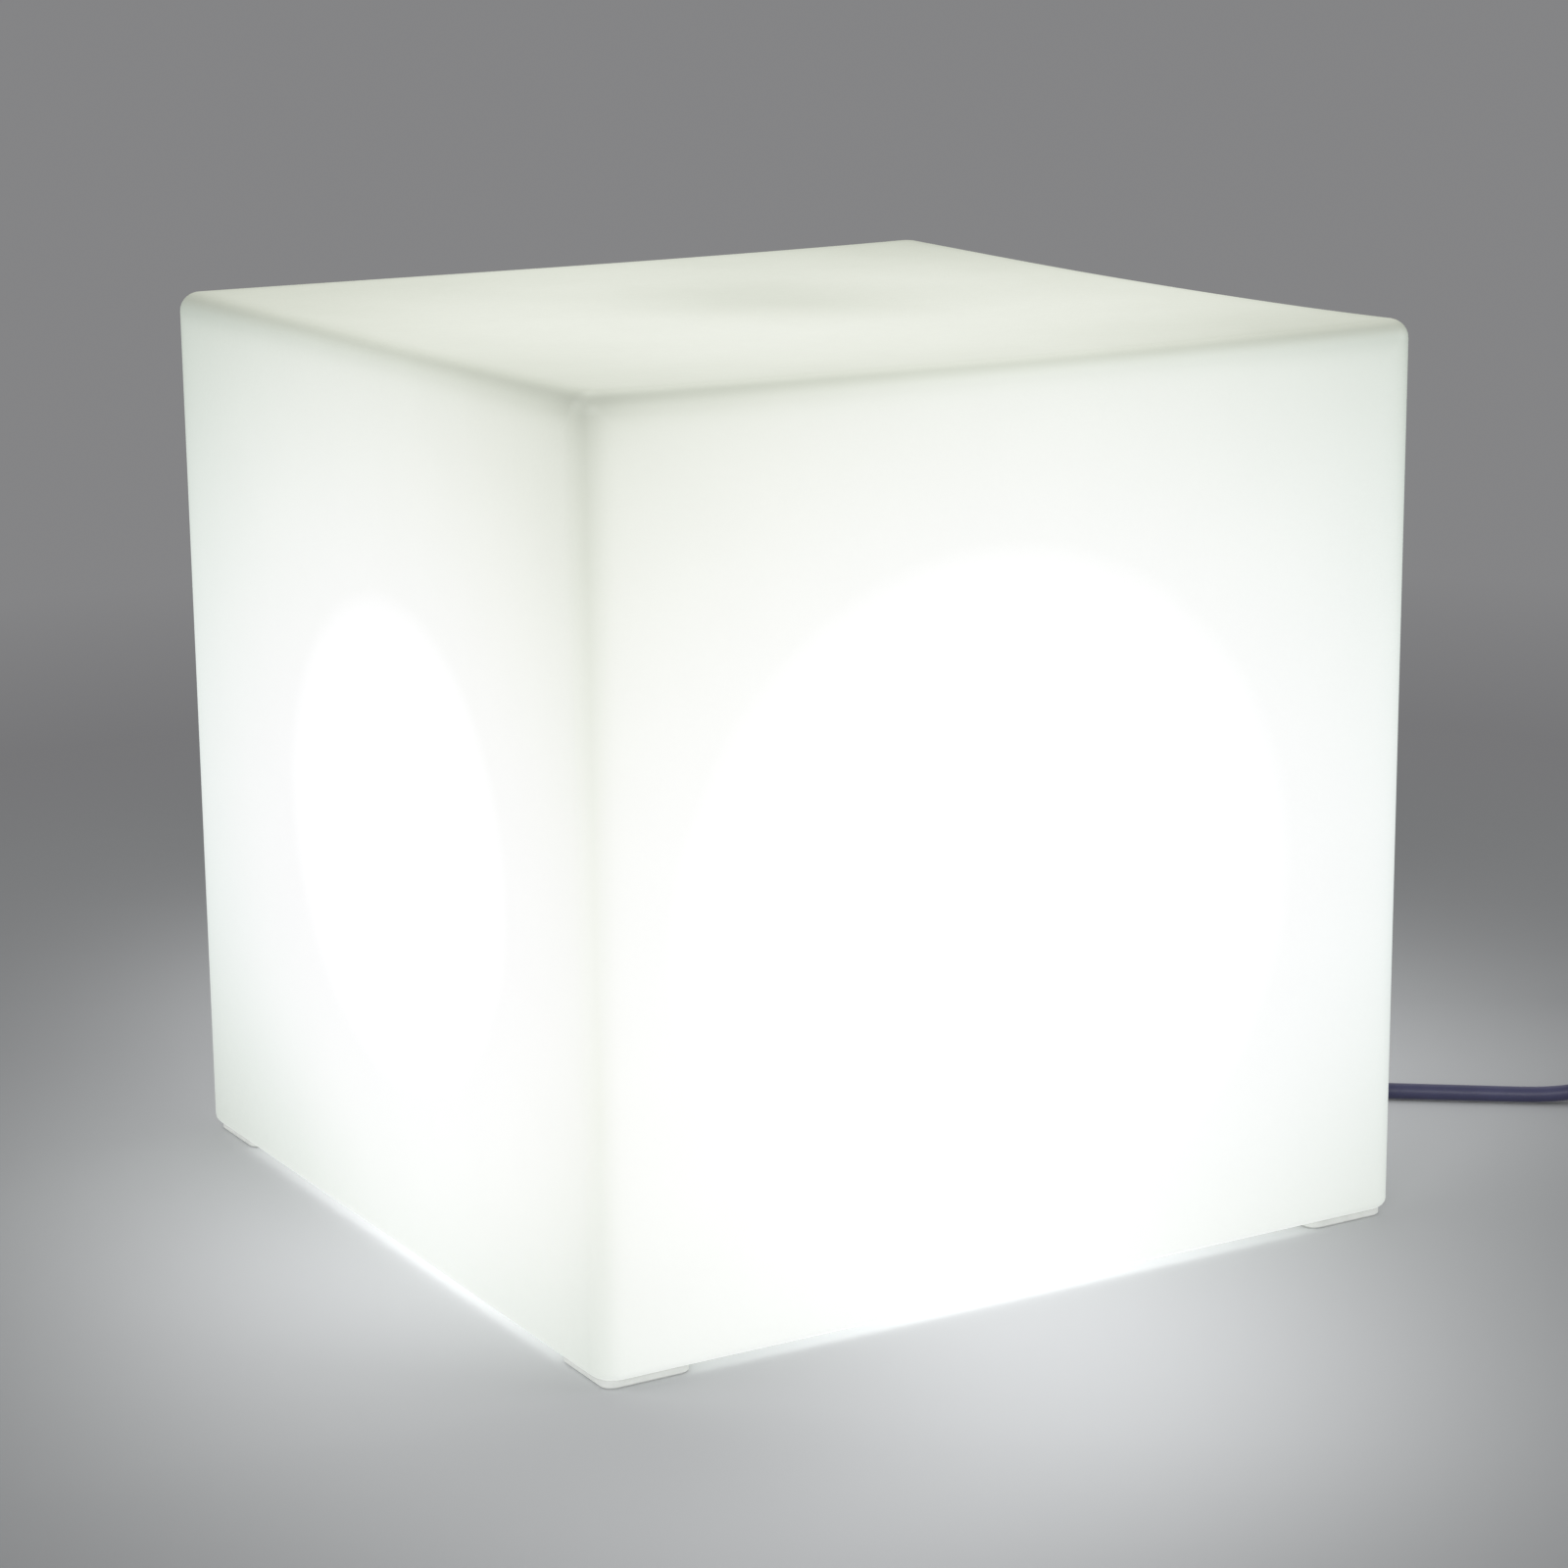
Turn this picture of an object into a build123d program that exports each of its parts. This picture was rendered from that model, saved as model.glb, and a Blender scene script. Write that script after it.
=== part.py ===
from build123d import *
import math
import os

# A plug-in light cube: a moulded translucent shell on four corner feet, with a lampholder and a bulb on a
# screwed cover in its underside. Millimetres. The origin is on the floor under the middle of the cube,
# +Z is up, and the cord leaves on the +X side.

# Moulded cube
cube_width = 300.0  # outside, along X and along Y
cube_height = 300.0  # from the floor to the top face
cube_wall = 4.0
cube_edge_radius = 7.5  # upright and top edges
cube_bottom_radius = 3.0  # edges round the underside

# Corner feet
foot_height = 3.0
foot_size = 30.0
foot_inset = 3.0  # from the cube's side faces
foot_corner_radius = 4.0

# Well and cord channel in the underside
well_radius = 75.0
well_depth = 21.0
channel_width = 16.0
channel_depth = 17.0
channel_corner_radius = 5.0
opening_radius = 50.0  # the bulb goes in and out here

# Base cover and its seal
seal_thickness = 2.0
seal_width = 5.5
seal_gap = 2.0  # from the opening's edge to the seal
flange_radius = 70.0
flange_thickness = 3.0
sump_radius = 33.0  # inside
sump_wall = 3.0
sump_depth = 16.0  # from the flange's top to the cover's lowest face
spigot_height = 5.0
spigot_wall = 3.0
spigot_clearance = 1.0
cover_chamfer = 1.2
cover_rib_thickness = 2.2
cover_rib_count = 8
cover_rib_depth = 5.0

# Cover screws and the brass inserts in the cube
screw_circle_radius = 63.0
screw_count = 4
screw_radius = 1.95
screw_head_radius = 3.8
screw_head_height = 2.6
screw_reach = 11.0  # from the flange's top
screw_hole_clearance = 0.3
screw_fit = 0.05
cross_slot_width = 0.9
cross_slot_depth = 1.1
insert_radius = 3.1
insert_length = 9.0
insert_floor = 4.0  # material over the end of an insert
boss_wall = 3.4

# Cord bush with its tapered tail
cord_radius = 3.0
bush_groove_radius = 4.0
bush_flange_radius = 4.9
bush_flange_thickness = 2.5
bush_tail_length = 27.5
bush_tail_end_radius = 3.8
bush_fit = 0.05
bush_ring_count = 4
bush_ring_depth = 0.55
bush_ring_width = 1.6
bush_block_length = 10.0
bush_block_width = 16.0
bush_block_start = 29.0  # from the cube's middle
bush_floor_gap = 0.1

# Cord clamp in the sump
clamp_x = 18.0
clamp_screw_spacing = 16.0
clamp_post_radius = 3.2
clamp_width = 8.0
clamp_thickness = 2.4
clamp_screw_radius = 1.45
clamp_head_radius = 2.7
clamp_head_height = 2.0
clamp_screw_length = 9.5
sheath_end_x = 8.0
saddle_fit = 0.05

# Steel bridge that carries the lampholder
bridge_width = 24.0
bridge_thickness = 1.5
bridge_height = 9.5  # from the flange's top to the bridge's top
bridge_span = 70.0  # outside of the two legs
bridge_foot_length = 8.0
bridge_screw_radius = 1.45
bridge_screw_length = 8.0
bridge_head_radius = 2.7
bridge_head_height = 2.0
bridge_boss_radius = 4.0
bridge_boss_depth = 6.0

# Threaded tube and its nut
nipple_radius = 5.0
nipple_bore_radius = 3.6
nipple_above = 5.0  # above the bridge
nipple_below = 6.0  # below the bridge's top
nut_across_flats = 14.0
nut_thickness = 3.0
nipple_fit = 0.05

# E27 lampholder
holder_radius = 20.5
holder_wall = 2.2
cap_height = 22.0
cap_collar_radius = 9.0
cap_collar_height = 1.5
cap_shoulder_rise = 2.2
cap_floor = 2.0
core_level = 10.5  # underside of the core over the bridge
core_thickness = 10.0
core_fit = 0.3
core_ledge = 3.0
core_boss_radius = 7.0
core_boss_height = 1.0
skirt_height = 26.5
skirt_neck_height = 10.0
skirt_neck_step = 1.5
skirt_lip_height = 2.0
skirt_lip_clearance = 0.9
terminal_width = 6.0
terminal_height = 4.6
terminal_length = 6.0
terminal_inner_y = 6.5
terminal_screw_radius = 1.2
terminal_head_radius = 1.9
terminal_head_height = 1.5
contact_width = 6.0
contact_length = 16.0
contact_thickness = 0.6
contact_button_radius = 3.0
contact_button_height = 1.9
contact_gap = 0.3

# Leads
lead_radius = 1.0
lead_spacing = 3.0

# E27 screw thread, and the bulb
thread_pitch = 3.63
thread_turns = 4
thread_crest_radius = 13.1
thread_depth = 0.9
thread_clearance = 0.35
thread_sheet = 0.5
sleeve_sheet = 0.6
tip_radius = 4.6
tip_height = 1.0
insulator_height = 4.0
insulator_low_radius = 5.4
insulator_top_radius = 11.0
thread_start = 6.5  # over the bulb's tip
bulb_cap_length = 27.0
bulb_length = 108.0
bulb_radius = 30.0
bulb_rim_level = 64.3  # over the bulb's tip
dome_wall = 1.2
housing_wall = 1.5
housing_neck_radius = 13.9
housing_waist_draw = 1.7  # half-way up the housing, inside the straight line from neck to rim
neck_insertion = 14.0
neck_fit = 0.2
sink_wall = 1.2
sink_height = 17.0
sink_gap = 0.9
led_board_thickness = 1.6
led_board_depth = 1.9  # from the rim down to the board
led_board_gap = 0.7
led_count = 12
led_circle_radius = 16.0
led_size = 3.0
led_height = 0.8
driver_width = 16.0
driver_length = 32.0
driver_thickness = 1.2
capacitor_radius = 4.0
capacitor_length = 14.0
choke_size = 7.0

# Put-away cord: the middle of the coil, and the way the cord comes in
coil_place = (402.0, -106.0)
cord_heading = -38.0  # degrees from +X
coil_outer_radius = 43.0
coil_pitch = 6.5
coil_half_turns_in = 6
coil_half_turns_out = 5

# Cord switch, in the coil's frame
switch_place = (-37.0, -60.0)
switch_length = 62.0
switch_width = 24.0
switch_height = 17.0
switch_wall = 1.8
switch_corner_radius = 7.0
switch_edge_radius = 2.0
nozzle_length = 4.0
nozzle_radius = 5.0
sheath_in_switch = 16.0
rocker_level = 12.5
rocker_half_length = 6.8
rocker_width = 8.4
rocker_end_height = 5.4
rocker_middle_height = 4.3
rocker_side_depth = 1.5
rocker_belly_depth = 4.2
rocker_tilt = 11.0
rocker_gap = 1.3
rocker_side_gap = 0.3
trunnion_radius = 1.5
trunnion_length = 2.0
trunnion_fit = 0.06
lug_width = 6.0
lug_depth = 2.5
lug_thickness = 2.0
switch_screw_x = 21.0
switch_screw_y = 7.4
switch_screw_radius = 1.1
switch_screw_head_radius = 2.1
switch_screw_head_height = 1.6
switch_boss_radius = 2.6
switch_screw_length = 12.0
switch_terminal_x = 12.5
switch_terminal_length = 5.0
switch_terminal_width = 6.0
switch_terminal_height = 8.7
switch_leaf_length = 7.0
switch_leaf_width = 3.0
switch_leaf_thickness = 0.8
switch_leaf_level = 4.4
wire_radius = 0.8
wire_offset = 1.4

# Two-pin plug, in the coil's frame
plug_place = (-4.0, 68.0)  # where the cord meets it
plug_relief_length = 24.0
plug_relief_end_radius = 3.9
plug_relief_root_radius = 5.6
plug_relief_ring_count = 5
plug_relief_ring_width = 1.6
plug_relief_ring_depth = 0.6
plug_length = 36.0
plug_width = 35.0
plug_front_width = 26.0
plug_rear_width = 12.0
plug_shoulder = 14.0
plug_front_taper = 8.0
plug_thickness = 13.7
plug_edge_radius = 2.5
pin_radius = 2.0
pin_neck_radius = 1.7
pin_length = 19.0
pin_sleeve_length = 10.0
pin_spacing = 18.6
pin_rooted = 8.0

# Heights that follow from the sizes
underside_z = foot_height
well_ceiling_z = underside_z + well_depth
channel_ceiling_z = underside_z + channel_depth
flange_top_z = well_ceiling_z - seal_thickness
flange_low_z = flange_top_z - flange_thickness
cover_low_z = flange_top_z - sump_depth
sump_floor_z = cover_low_z + sump_wall
cord_z = sump_floor_z + bush_floor_gap + bush_flange_radius
bridge_top_z = flange_top_z + bridge_height
core_low_z = bridge_top_z + core_level
core_top_z = core_low_z + core_thickness
cap_top_z = bridge_top_z + cap_height
skirt_top_z = cap_top_z + skirt_height
button_top_z = core_top_z + core_boss_height + contact_thickness + contact_button_height
tip_z = button_top_z + contact_gap
bulb_top_z = tip_z + bulb_length
bulb_centre_z = bulb_top_z - bulb_radius
rim_z = tip_z + bulb_rim_level
bulb_cap_top_z = tip_z + bulb_cap_length
thread_low_z = tip_z + thread_start
insulator_top_z = tip_z + tip_height + insulator_height
led_board_low_z = rim_z - led_board_depth - led_board_thickness
terminal_low_z = core_low_z - terminal_height
terminal_z = core_low_z - terminal_height / 2

# Other lengths that follow
holder_inner_radius = holder_radius - holder_wall
core_radius = holder_inner_radius - core_fit
sump_outer_radius = sump_radius + sump_wall
spigot_radius = opening_radius - spigot_clearance
bush_block_end = bush_block_start + bush_block_length
bush_tail_start_x = bush_block_end + bush_flange_thickness
bush_end_x = bush_tail_start_x + bush_tail_length
insert_bore_radius = screw_radius + screw_fit
screw_hole_radius = screw_radius + screw_hole_clearance
bridge_screw_y = bridge_span / 2 + bridge_foot_length / 2
rim_radius = math.sqrt(bulb_radius**2 - (bulb_centre_z - rim_z) ** 2)
housing_waist_radius = (housing_neck_radius + rim_radius) / 2 - housing_waist_draw
switch_end = switch_length / 2 + nozzle_length
switch_middle_z = switch_height / 2
plug_middle_z = plug_thickness / 2

# Where the cord runs. The first list is in the cube's frame and ends in the coil's frame at the switch.
lamp_cord_points = [
    (bush_end_x, 0.0, cord_z),
    (86.0, 0.0, cord_z),
    (110.0, -0.6, 10.6),
    (136.0, 0.8, 5.9),
    (160.0, -2.8, 3.4),
    (182.0, -14.5, 3.0),
    (205.0, -34.0, 3.0),
    (230.0, -53.8, 3.0),
    (254.0, -72.0, 3.0),
    (276.0, -88.0, 3.3),
]
lamp_cord_end = [
    (-87.0, -60.0, switch_middle_z),
    (-72.0, -60.0, switch_middle_z),
]
switch_cord_points = [
    (-2.0, -60.0, switch_middle_z),
    (12.6, -60.0, switch_middle_z),
    (26.5, -54.2, 7.2),
    (37.2, -43.5, 5.2),
    (42.6, -29.6, 3.5),
    (43.0, -17.0, 3.0),
    (43.0, -6.0, 3.0),
]
plug_cord_points = [
    (43.0, 6.0, 9.5),
    (43.0, 20.0, 9.5),
    (42.5, 36.0, 7.2),
    (36.9, 50.7, 3.8),
    (25.7, 61.9, 3.9),
    (11.0, 68.0, plug_middle_z),
    (-4.0, 68.0, plug_middle_z),
]

on_base = (Align.CENTER, Align.CENTER, Align.MIN)
coil_frame = Location((*coil_place, 0), (0, 0, cord_heading))


def post(radius, low, high):
    """An upright cylinder on the Z axis."""
    return Pos(0, 0, low) * Cylinder(radius, high - low, align=on_base)


def tube(outer, inner, low, high):
    """An upright ring on the Z axis."""
    return post(outer, low, high) - post(inner, low - 1, high + 1)


def block(x, y, z):
    """A box between the two values of each pair."""
    size = [high - low for low, high in (x, y, z)]
    return Pos(x[0], y[0], z[0]) * Box(*size, align=(Align.MIN, Align.MIN, Align.MIN))


def rod(radius, start, end, y=0.0, z=0.0):
    """A cylinder along X."""
    return Pos(start, y, z) * Rot(0, 90, 0) * Cylinder(radius, end - start, align=on_base)


def turned(points):
    """A solid turned about Z from a closed outline of (radius, height) points."""
    outline = Polyline(*[(radius, 0, height) for radius, height in points], close=True)
    return revolve(make_face(outline), Axis.Z)


def ring_places(count, radius, first_angle):
    """Places evenly round the Z axis."""
    places = []
    for index in range(count):
        angle = math.radians(first_angle + 360 / count * index)
        places.append(Pos(radius * math.cos(angle), radius * math.sin(angle), 0))
    return places


def cross_slots(size, low, high):
    """The driver's cross that is cut into a screw head."""
    half = cross_slot_width / 2
    return block((-size, size), (-half, half), (low, high)) + block((-half, half), (-size, size), (low, high))


def screw_up(radius, head_radius, head_height, head_top, end):
    """A screw driven upwards, its head below head_top."""
    head_low = head_top - head_height
    head = chamfer(post(head_radius, head_low, head_top).edges().group_by(Axis.Z)[0], head_height * 0.25)
    return head + post(radius, head_top, end) - cross_slots(head_radius * 0.65, head_low, head_low + cross_slot_depth)


def screw_down(radius, head_radius, head_height, head_low, end):
    """A screw driven downwards, its head above head_low."""
    head_top = head_low + head_height
    head = chamfer(post(head_radius, head_low, head_top).edges().group_by(Axis.Z)[-1], head_height * 0.25)
    return head + post(radius, end, head_low) - cross_slots(head_radius * 0.65, head_top - cross_slot_depth, head_top)


def recess(margin):
    """The well and the cord channel in the underside, grown by margin."""
    reach = cube_width / 2 + (0 if margin else 10)
    well = post(well_radius + margin, -10, well_ceiling_z + margin)
    top = channel_ceiling_z + margin
    half = channel_width / 2 + margin
    section = Plane.YZ * Pos(0, (top - 10) / 2) * Rectangle(2 * half, top + 10)
    section = fillet(section.vertices().group_by(Axis.Z)[-1], channel_corner_radius + margin)
    return well + extrude(section, reach, dir=(1, 0, 0))


def cube_shell():
    outer = block(
        (-cube_width / 2, cube_width / 2), (-cube_width / 2, cube_width / 2), (underside_z, cube_height)
    )
    outer = fillet(outer.edges().filter_by(Axis.Z) + outer.edges().group_by(Axis.Z)[-1], cube_edge_radius)
    outer = fillet(outer.edges().group_by(Axis.Z)[0], cube_bottom_radius)
    half = cube_width / 2 - cube_wall
    hollow = block((-half, half), (-half, half), (underside_z + cube_wall, cube_height - cube_wall))
    hollow = fillet(hollow.edges(), max(cube_edge_radius - cube_wall, 1.0))
    shell = outer - recess(0) - (hollow - recess(cube_wall))
    insert_top = well_ceiling_z + insert_length
    for place in ring_places(screw_count, screw_circle_radius, 45):
        shell += place * post(insert_radius + boss_wall, well_ceiling_z + 1, insert_top + insert_floor)
        shell -= place * post(insert_radius, well_ceiling_z - 1, insert_top)
    return shell - post(opening_radius, well_ceiling_z - 1, well_ceiling_z + cube_wall + 1)


def corner_foot(side_x, side_y):
    reach = cube_width / 2 - foot_inset - foot_size / 2
    pad = extrude(RectangleRounded(foot_size, foot_size, foot_corner_radius), foot_height)
    pad = chamfer(pad.edges().group_by(Axis.Z)[0], foot_height * 0.2)
    return Pos(side_x * reach, side_y * reach, 0) * pad


def cover_inserts():
    insert = tube(insert_radius, insert_bore_radius, well_ceiling_z, well_ceiling_z + insert_length)
    return [place * insert for place in ring_places(screw_count, screw_circle_radius, 45)]


def cover_seal():
    inner = opening_radius + seal_gap
    return tube(inner + seal_width, inner, flange_top_z, well_ceiling_z)


def base_cover():
    chamfered = cover_chamfer
    cover = turned(
        [
            (0, cover_low_z),
            (sump_outer_radius - chamfered, cover_low_z),
            (sump_outer_radius, cover_low_z + chamfered),
            (sump_outer_radius, flange_low_z),
            (flange_radius - chamfered, flange_low_z),
            (flange_radius, flange_low_z + chamfered),
            (flange_radius, flange_top_z),
            (spigot_radius, flange_top_z),
            (spigot_radius, flange_top_z + spigot_height),
            (spigot_radius - spigot_wall, flange_top_z + spigot_height),
            (spigot_radius - spigot_wall, flange_top_z),
            (sump_radius, flange_top_z),
            (sump_radius, sump_floor_z),
            (0, sump_floor_z),
        ]
    )
    rib = block(
        (sump_outer_radius - 1, flange_radius - 2 * chamfered),
        (-cover_rib_thickness / 2, cover_rib_thickness / 2),
        (flange_low_z - cover_rib_depth, flange_low_z),
    )
    for index in range(cover_rib_count):
        cover += Rot(0, 0, 360 / cover_rib_count * (index + 0.5)) * rib
    half = bush_block_width / 2
    cover += block((bush_block_start, bush_block_end), (-half, half), (cover_low_z + chamfered, flange_low_z))
    for side in (-1, 1):
        boss = post(bridge_boss_radius, flange_low_z - bridge_boss_depth, flange_low_z)
        cover += Pos(0, side * bridge_screw_y, 0) * boss
        bore = post(bridge_screw_radius + screw_fit, flange_low_z - bridge_boss_depth + 1, flange_top_z + 1)
        cover -= Pos(0, side * bridge_screw_y, 0) * bore
        clamp_post = post(clamp_post_radius, sump_floor_z, cord_z + cord_radius)
        cover += Pos(clamp_x, side * clamp_screw_spacing / 2, 0) * clamp_post
        bore = post(clamp_screw_radius + screw_fit, cover_low_z + 1.5, cord_z + cord_radius + 1)
        cover -= Pos(clamp_x, side * clamp_screw_spacing / 2, 0) * bore
    saddle_half = clamp_width / 2
    cover += block(
        (clamp_x - saddle_half, clamp_x + saddle_half), (-saddle_half, saddle_half), (sump_floor_z, cord_z - 1.5)
    )
    cover -= rod(cord_radius + saddle_fit, clamp_x - clamp_width, clamp_x + clamp_width, z=cord_z)
    cover -= rod(bush_groove_radius + bush_fit, bush_block_start - 1, bush_block_end + 1, z=cord_z)
    for place in ring_places(screw_count, screw_circle_radius, 45):
        cover -= place * post(screw_hole_radius, flange_low_z - 1, flange_top_z + 1)
    return cover


def cover_screws():
    end = flange_top_z + screw_reach
    screw = screw_up(screw_radius, screw_head_radius, screw_head_height, flange_low_z, end)
    return [place * screw for place in ring_places(screw_count, screw_circle_radius, 45)]


def cord_bush():
    start = bush_block_start - bush_flange_thickness
    bush = rod(bush_flange_radius, start, bush_block_start, z=cord_z)
    bush += rod(bush_groove_radius, bush_block_start, bush_block_end, z=cord_z)
    bush += rod(bush_flange_radius, bush_block_end, bush_tail_start_x, z=cord_z)
    tail = Cone(bush_flange_radius, bush_tail_end_radius, bush_tail_length, align=on_base)
    bush += Pos(bush_tail_start_x, 0, cord_z) * Rot(0, 90, 0) * tail
    step = bush_tail_length / (bush_ring_count + 1)
    drop = (bush_flange_radius - bush_tail_end_radius) / bush_tail_length
    for index in range(bush_ring_count):
        ring_x = bush_tail_start_x + step * (index + 1)
        floor_radius = bush_flange_radius - drop * step * (index + 1) - bush_ring_depth
        groove = rod(bush_flange_radius + 1, ring_x, ring_x + bush_ring_width, z=cord_z)
        bush -= groove - rod(floor_radius, ring_x - 1, ring_x + bush_ring_width + 1, z=cord_z)
    return bush - rod(cord_radius + bush_fit, start - 1, bush_end_x + 1, z=cord_z)


def inner_cord():
    return rod(cord_radius, sheath_end_x, bush_end_x, z=cord_z)


def cord_clamp():
    low = cord_z + cord_radius
    half = clamp_screw_spacing / 2 + clamp_post_radius
    bar = block((clamp_x - clamp_width / 2, clamp_x + clamp_width / 2), (-half, half), (low, low + clamp_thickness))
    bar = fillet(bar.edges().filter_by(Axis.Z), clamp_width * 0.3)
    for side in (-1, 1):
        hole = post(clamp_screw_radius + screw_hole_clearance, low - 1, low + clamp_thickness + 1)
        bar -= Pos(clamp_x, side * clamp_screw_spacing / 2, 0) * hole
    return bar


def clamp_screws():
    head_low = cord_z + cord_radius + clamp_thickness
    end = head_low - clamp_screw_length
    screw = screw_down(clamp_screw_radius, clamp_head_radius, clamp_head_height, head_low, end)
    return [Pos(clamp_x, side * clamp_screw_spacing / 2, 0) * screw for side in (-1, 1)]


def holder_bridge():
    half = bridge_width / 2
    outer = bridge_span / 2
    inner = outer - bridge_thickness
    bridge = block((-half, half), (-outer, outer), (flange_top_z, bridge_top_z))
    bridge -= block((-half - 1, half + 1), (-inner, inner), (flange_top_z - 1, bridge_top_z - bridge_thickness))
    for side in (-1, 1):
        reach = sorted((side * inner, side * (outer + bridge_foot_length)))
        foot = block((-half, half), reach, (flange_top_z, flange_top_z + bridge_thickness))
        bridge += fillet(foot.edges().filter_by(Axis.Z), bridge_foot_length * 0.3)
    for side in (-1, 1):
        hole = post(bridge_screw_radius + screw_hole_clearance, flange_top_z - 1, flange_top_z + 3)
        bridge -= Pos(0, side * bridge_screw_y, 0) * hole
    return bridge - post(nipple_radius + nipple_fit, bridge_top_z - 5, bridge_top_z + 1)


def bridge_screws():
    head_low = flange_top_z + bridge_thickness
    end = head_low - bridge_screw_length
    screw = screw_down(bridge_screw_radius, bridge_head_radius, bridge_head_height, head_low, end)
    return [Pos(0, side * bridge_screw_y, 0) * screw for side in (-1, 1)]


def threaded_nipple():
    return tube(nipple_radius, nipple_bore_radius, bridge_top_z - nipple_below, bridge_top_z + nipple_above)


def nipple_nut():
    top = bridge_top_z - bridge_thickness
    hexagon = RegularPolygon(nut_across_flats / 2, 6, major_radius=False)
    nut = Pos(0, 0, top - nut_thickness) * extrude(hexagon, nut_thickness)
    return nut - post(nipple_radius + nipple_fit, top - nut_thickness - 1, top + 1)


def holder_cap():
    bore = nipple_radius + nipple_fit
    shoulder_z = bridge_top_z + cap_collar_height + cap_shoulder_rise
    ledge_radius = holder_inner_radius - core_ledge
    return turned(
        [
            (bore, bridge_top_z),
            (cap_collar_radius, bridge_top_z),
            (cap_collar_radius, bridge_top_z + cap_collar_height),
            (holder_radius - cap_collar_height, shoulder_z),
            (holder_radius, shoulder_z + cap_collar_height),
            (holder_radius, cap_top_z),
            (holder_inner_radius, cap_top_z),
            (holder_inner_radius, core_low_z),
            (ledge_radius, core_low_z),
            (ledge_radius, shoulder_z + cap_collar_height * 0.8),
            (bore + 1, bridge_top_z + cap_collar_height + cap_floor),
            (bore, bridge_top_z + cap_collar_height + cap_floor),
        ]
    )


def holder_core():
    core = post(core_radius, core_low_z, core_top_z) + post(core_boss_radius, core_top_z, core_top_z + core_boss_height)
    for side in (-1, 1):
        notch = post(terminal_head_radius, core_low_z - 1, core_top_z + 1)
        core -= Pos(side * (core_radius - 1), 0, 0) * notch
    return core


def holder_terminals():
    half = terminal_width / 2
    outer = terminal_inner_y + terminal_length
    solids = []
    for side in (-1, 1):
        reach = sorted((side * terminal_inner_y, side * outer))
        solids.append(block((-half, half), reach, (terminal_low_z, core_low_z)))
        bore = Pos(0, side * (outer + 1), terminal_z) * Rot(side * 90, 0, 0) * Cylinder(
            terminal_screw_radius + screw_fit, terminal_length / 2 + 1, align=on_base
        )
        solids[-1] -= bore
    return solids


def terminal_screws():
    outer = terminal_inner_y + terminal_length
    solids = []
    for side in (-1, 1):
        face = Pos(0, side * outer, terminal_z) * Rot(side * 90, 0, 0)
        shank = Cylinder(terminal_screw_radius, terminal_length / 2 - 0.5, align=on_base)
        head = Pos(0, 0, -terminal_head_height) * Cylinder(terminal_head_radius, terminal_head_height, align=on_base)
        slot_low = -terminal_head_height - 0.1
        head -= cross_slots(terminal_head_radius * 0.6, slot_low, slot_low + terminal_head_height / 2)
        solids.append(face * (shank + head))
    return solids


def centre_contact():
    low = core_top_z + core_boss_height
    half = contact_width / 2
    leaf = block((-half, half), (-contact_length / 2, contact_length / 2), (low, low + contact_thickness))
    leaf = fillet(leaf.edges().filter_by(Axis.Z), half * 0.8)
    button = post(contact_button_radius, low + contact_thickness, button_top_z)
    return leaf + chamfer(button.edges().group_by(Axis.Z)[-1], contact_button_radius * 0.3)


def holder_skirt():
    neck_z = skirt_top_z - skirt_neck_height
    neck_radius = holder_radius - skirt_neck_step
    lip_radius = thread_crest_radius + skirt_lip_clearance
    return turned(
        [
            (holder_inner_radius, cap_top_z),
            (holder_radius, cap_top_z),
            (holder_radius, neck_z - skirt_neck_step),
            (neck_radius, neck_z),
            (neck_radius, skirt_top_z - 1),
            (neck_radius - 1, skirt_top_z),
            (lip_radius, skirt_top_z),
            (lip_radius, skirt_top_z - skirt_lip_height),
            (neck_radius - holder_wall, skirt_top_z - skirt_lip_height),
            (neck_radius - holder_wall, neck_z),
            (holder_inner_radius, neck_z - skirt_neck_step),
        ]
    )


def thread_line(crest, low):
    """Points up the side of the thread, crest outwards, from one root to the last."""
    points = [(crest - thread_depth, low)]
    for turn in range(thread_turns):
        points.append((crest, low + thread_pitch * (turn + 0.5)))
        points.append((crest - thread_depth, low + thread_pitch * (turn + 1)))
    return points


def screw_sleeve():
    inner = thread_line(thread_crest_radius + thread_clearance, thread_low_z)
    outer = [(radius + sleeve_sheet, height) for radius, height in inner]
    base = [(inner[0][0], core_top_z), (outer[0][0], core_top_z)]
    return turned(base + outer + inner[::-1])


def bulb_tip_contact():
    tip = post(tip_radius, tip_z, tip_z + tip_height)
    return fillet(tip.edges().group_by(Axis.Z)[0], tip_height * 0.8)


def bulb_cap_insulator():
    low = tip_z + tip_height
    return turned([(0, low), (insulator_low_radius, low), (insulator_top_radius, insulator_top_z), (0, insulator_top_z)])


def bulb_cap():
    outer = thread_line(thread_crest_radius, thread_low_z)
    last = outer[-1][1]
    outer = [(insulator_top_radius, insulator_top_z)] + outer
    outer += [(thread_crest_radius, last + thread_pitch / 2), (thread_crest_radius, bulb_cap_top_z)]
    inner = [(radius - thread_sheet, height) for radius, height in outer]
    return turned(outer + inner[::-1])


def housing_inner_radius(height):
    """The housing's bore at a height: its wall is an arc through the neck, the waist and the rim."""
    neck = complex(housing_neck_radius - housing_wall, bulb_cap_top_z + housing_wall)
    waist = complex(housing_waist_radius - housing_wall, (bulb_cap_top_z + rim_z) / 2)
    rim = complex(rim_radius - housing_wall, rim_z)
    turn = (rim - neck) / (waist - neck)
    middle = neck + (waist - neck) * (turn - abs(turn) ** 2) / (2j * turn.imag)
    reach = abs(middle - neck)
    return middle.real - math.sqrt(reach**2 - (height - middle.imag) ** 2)


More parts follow.
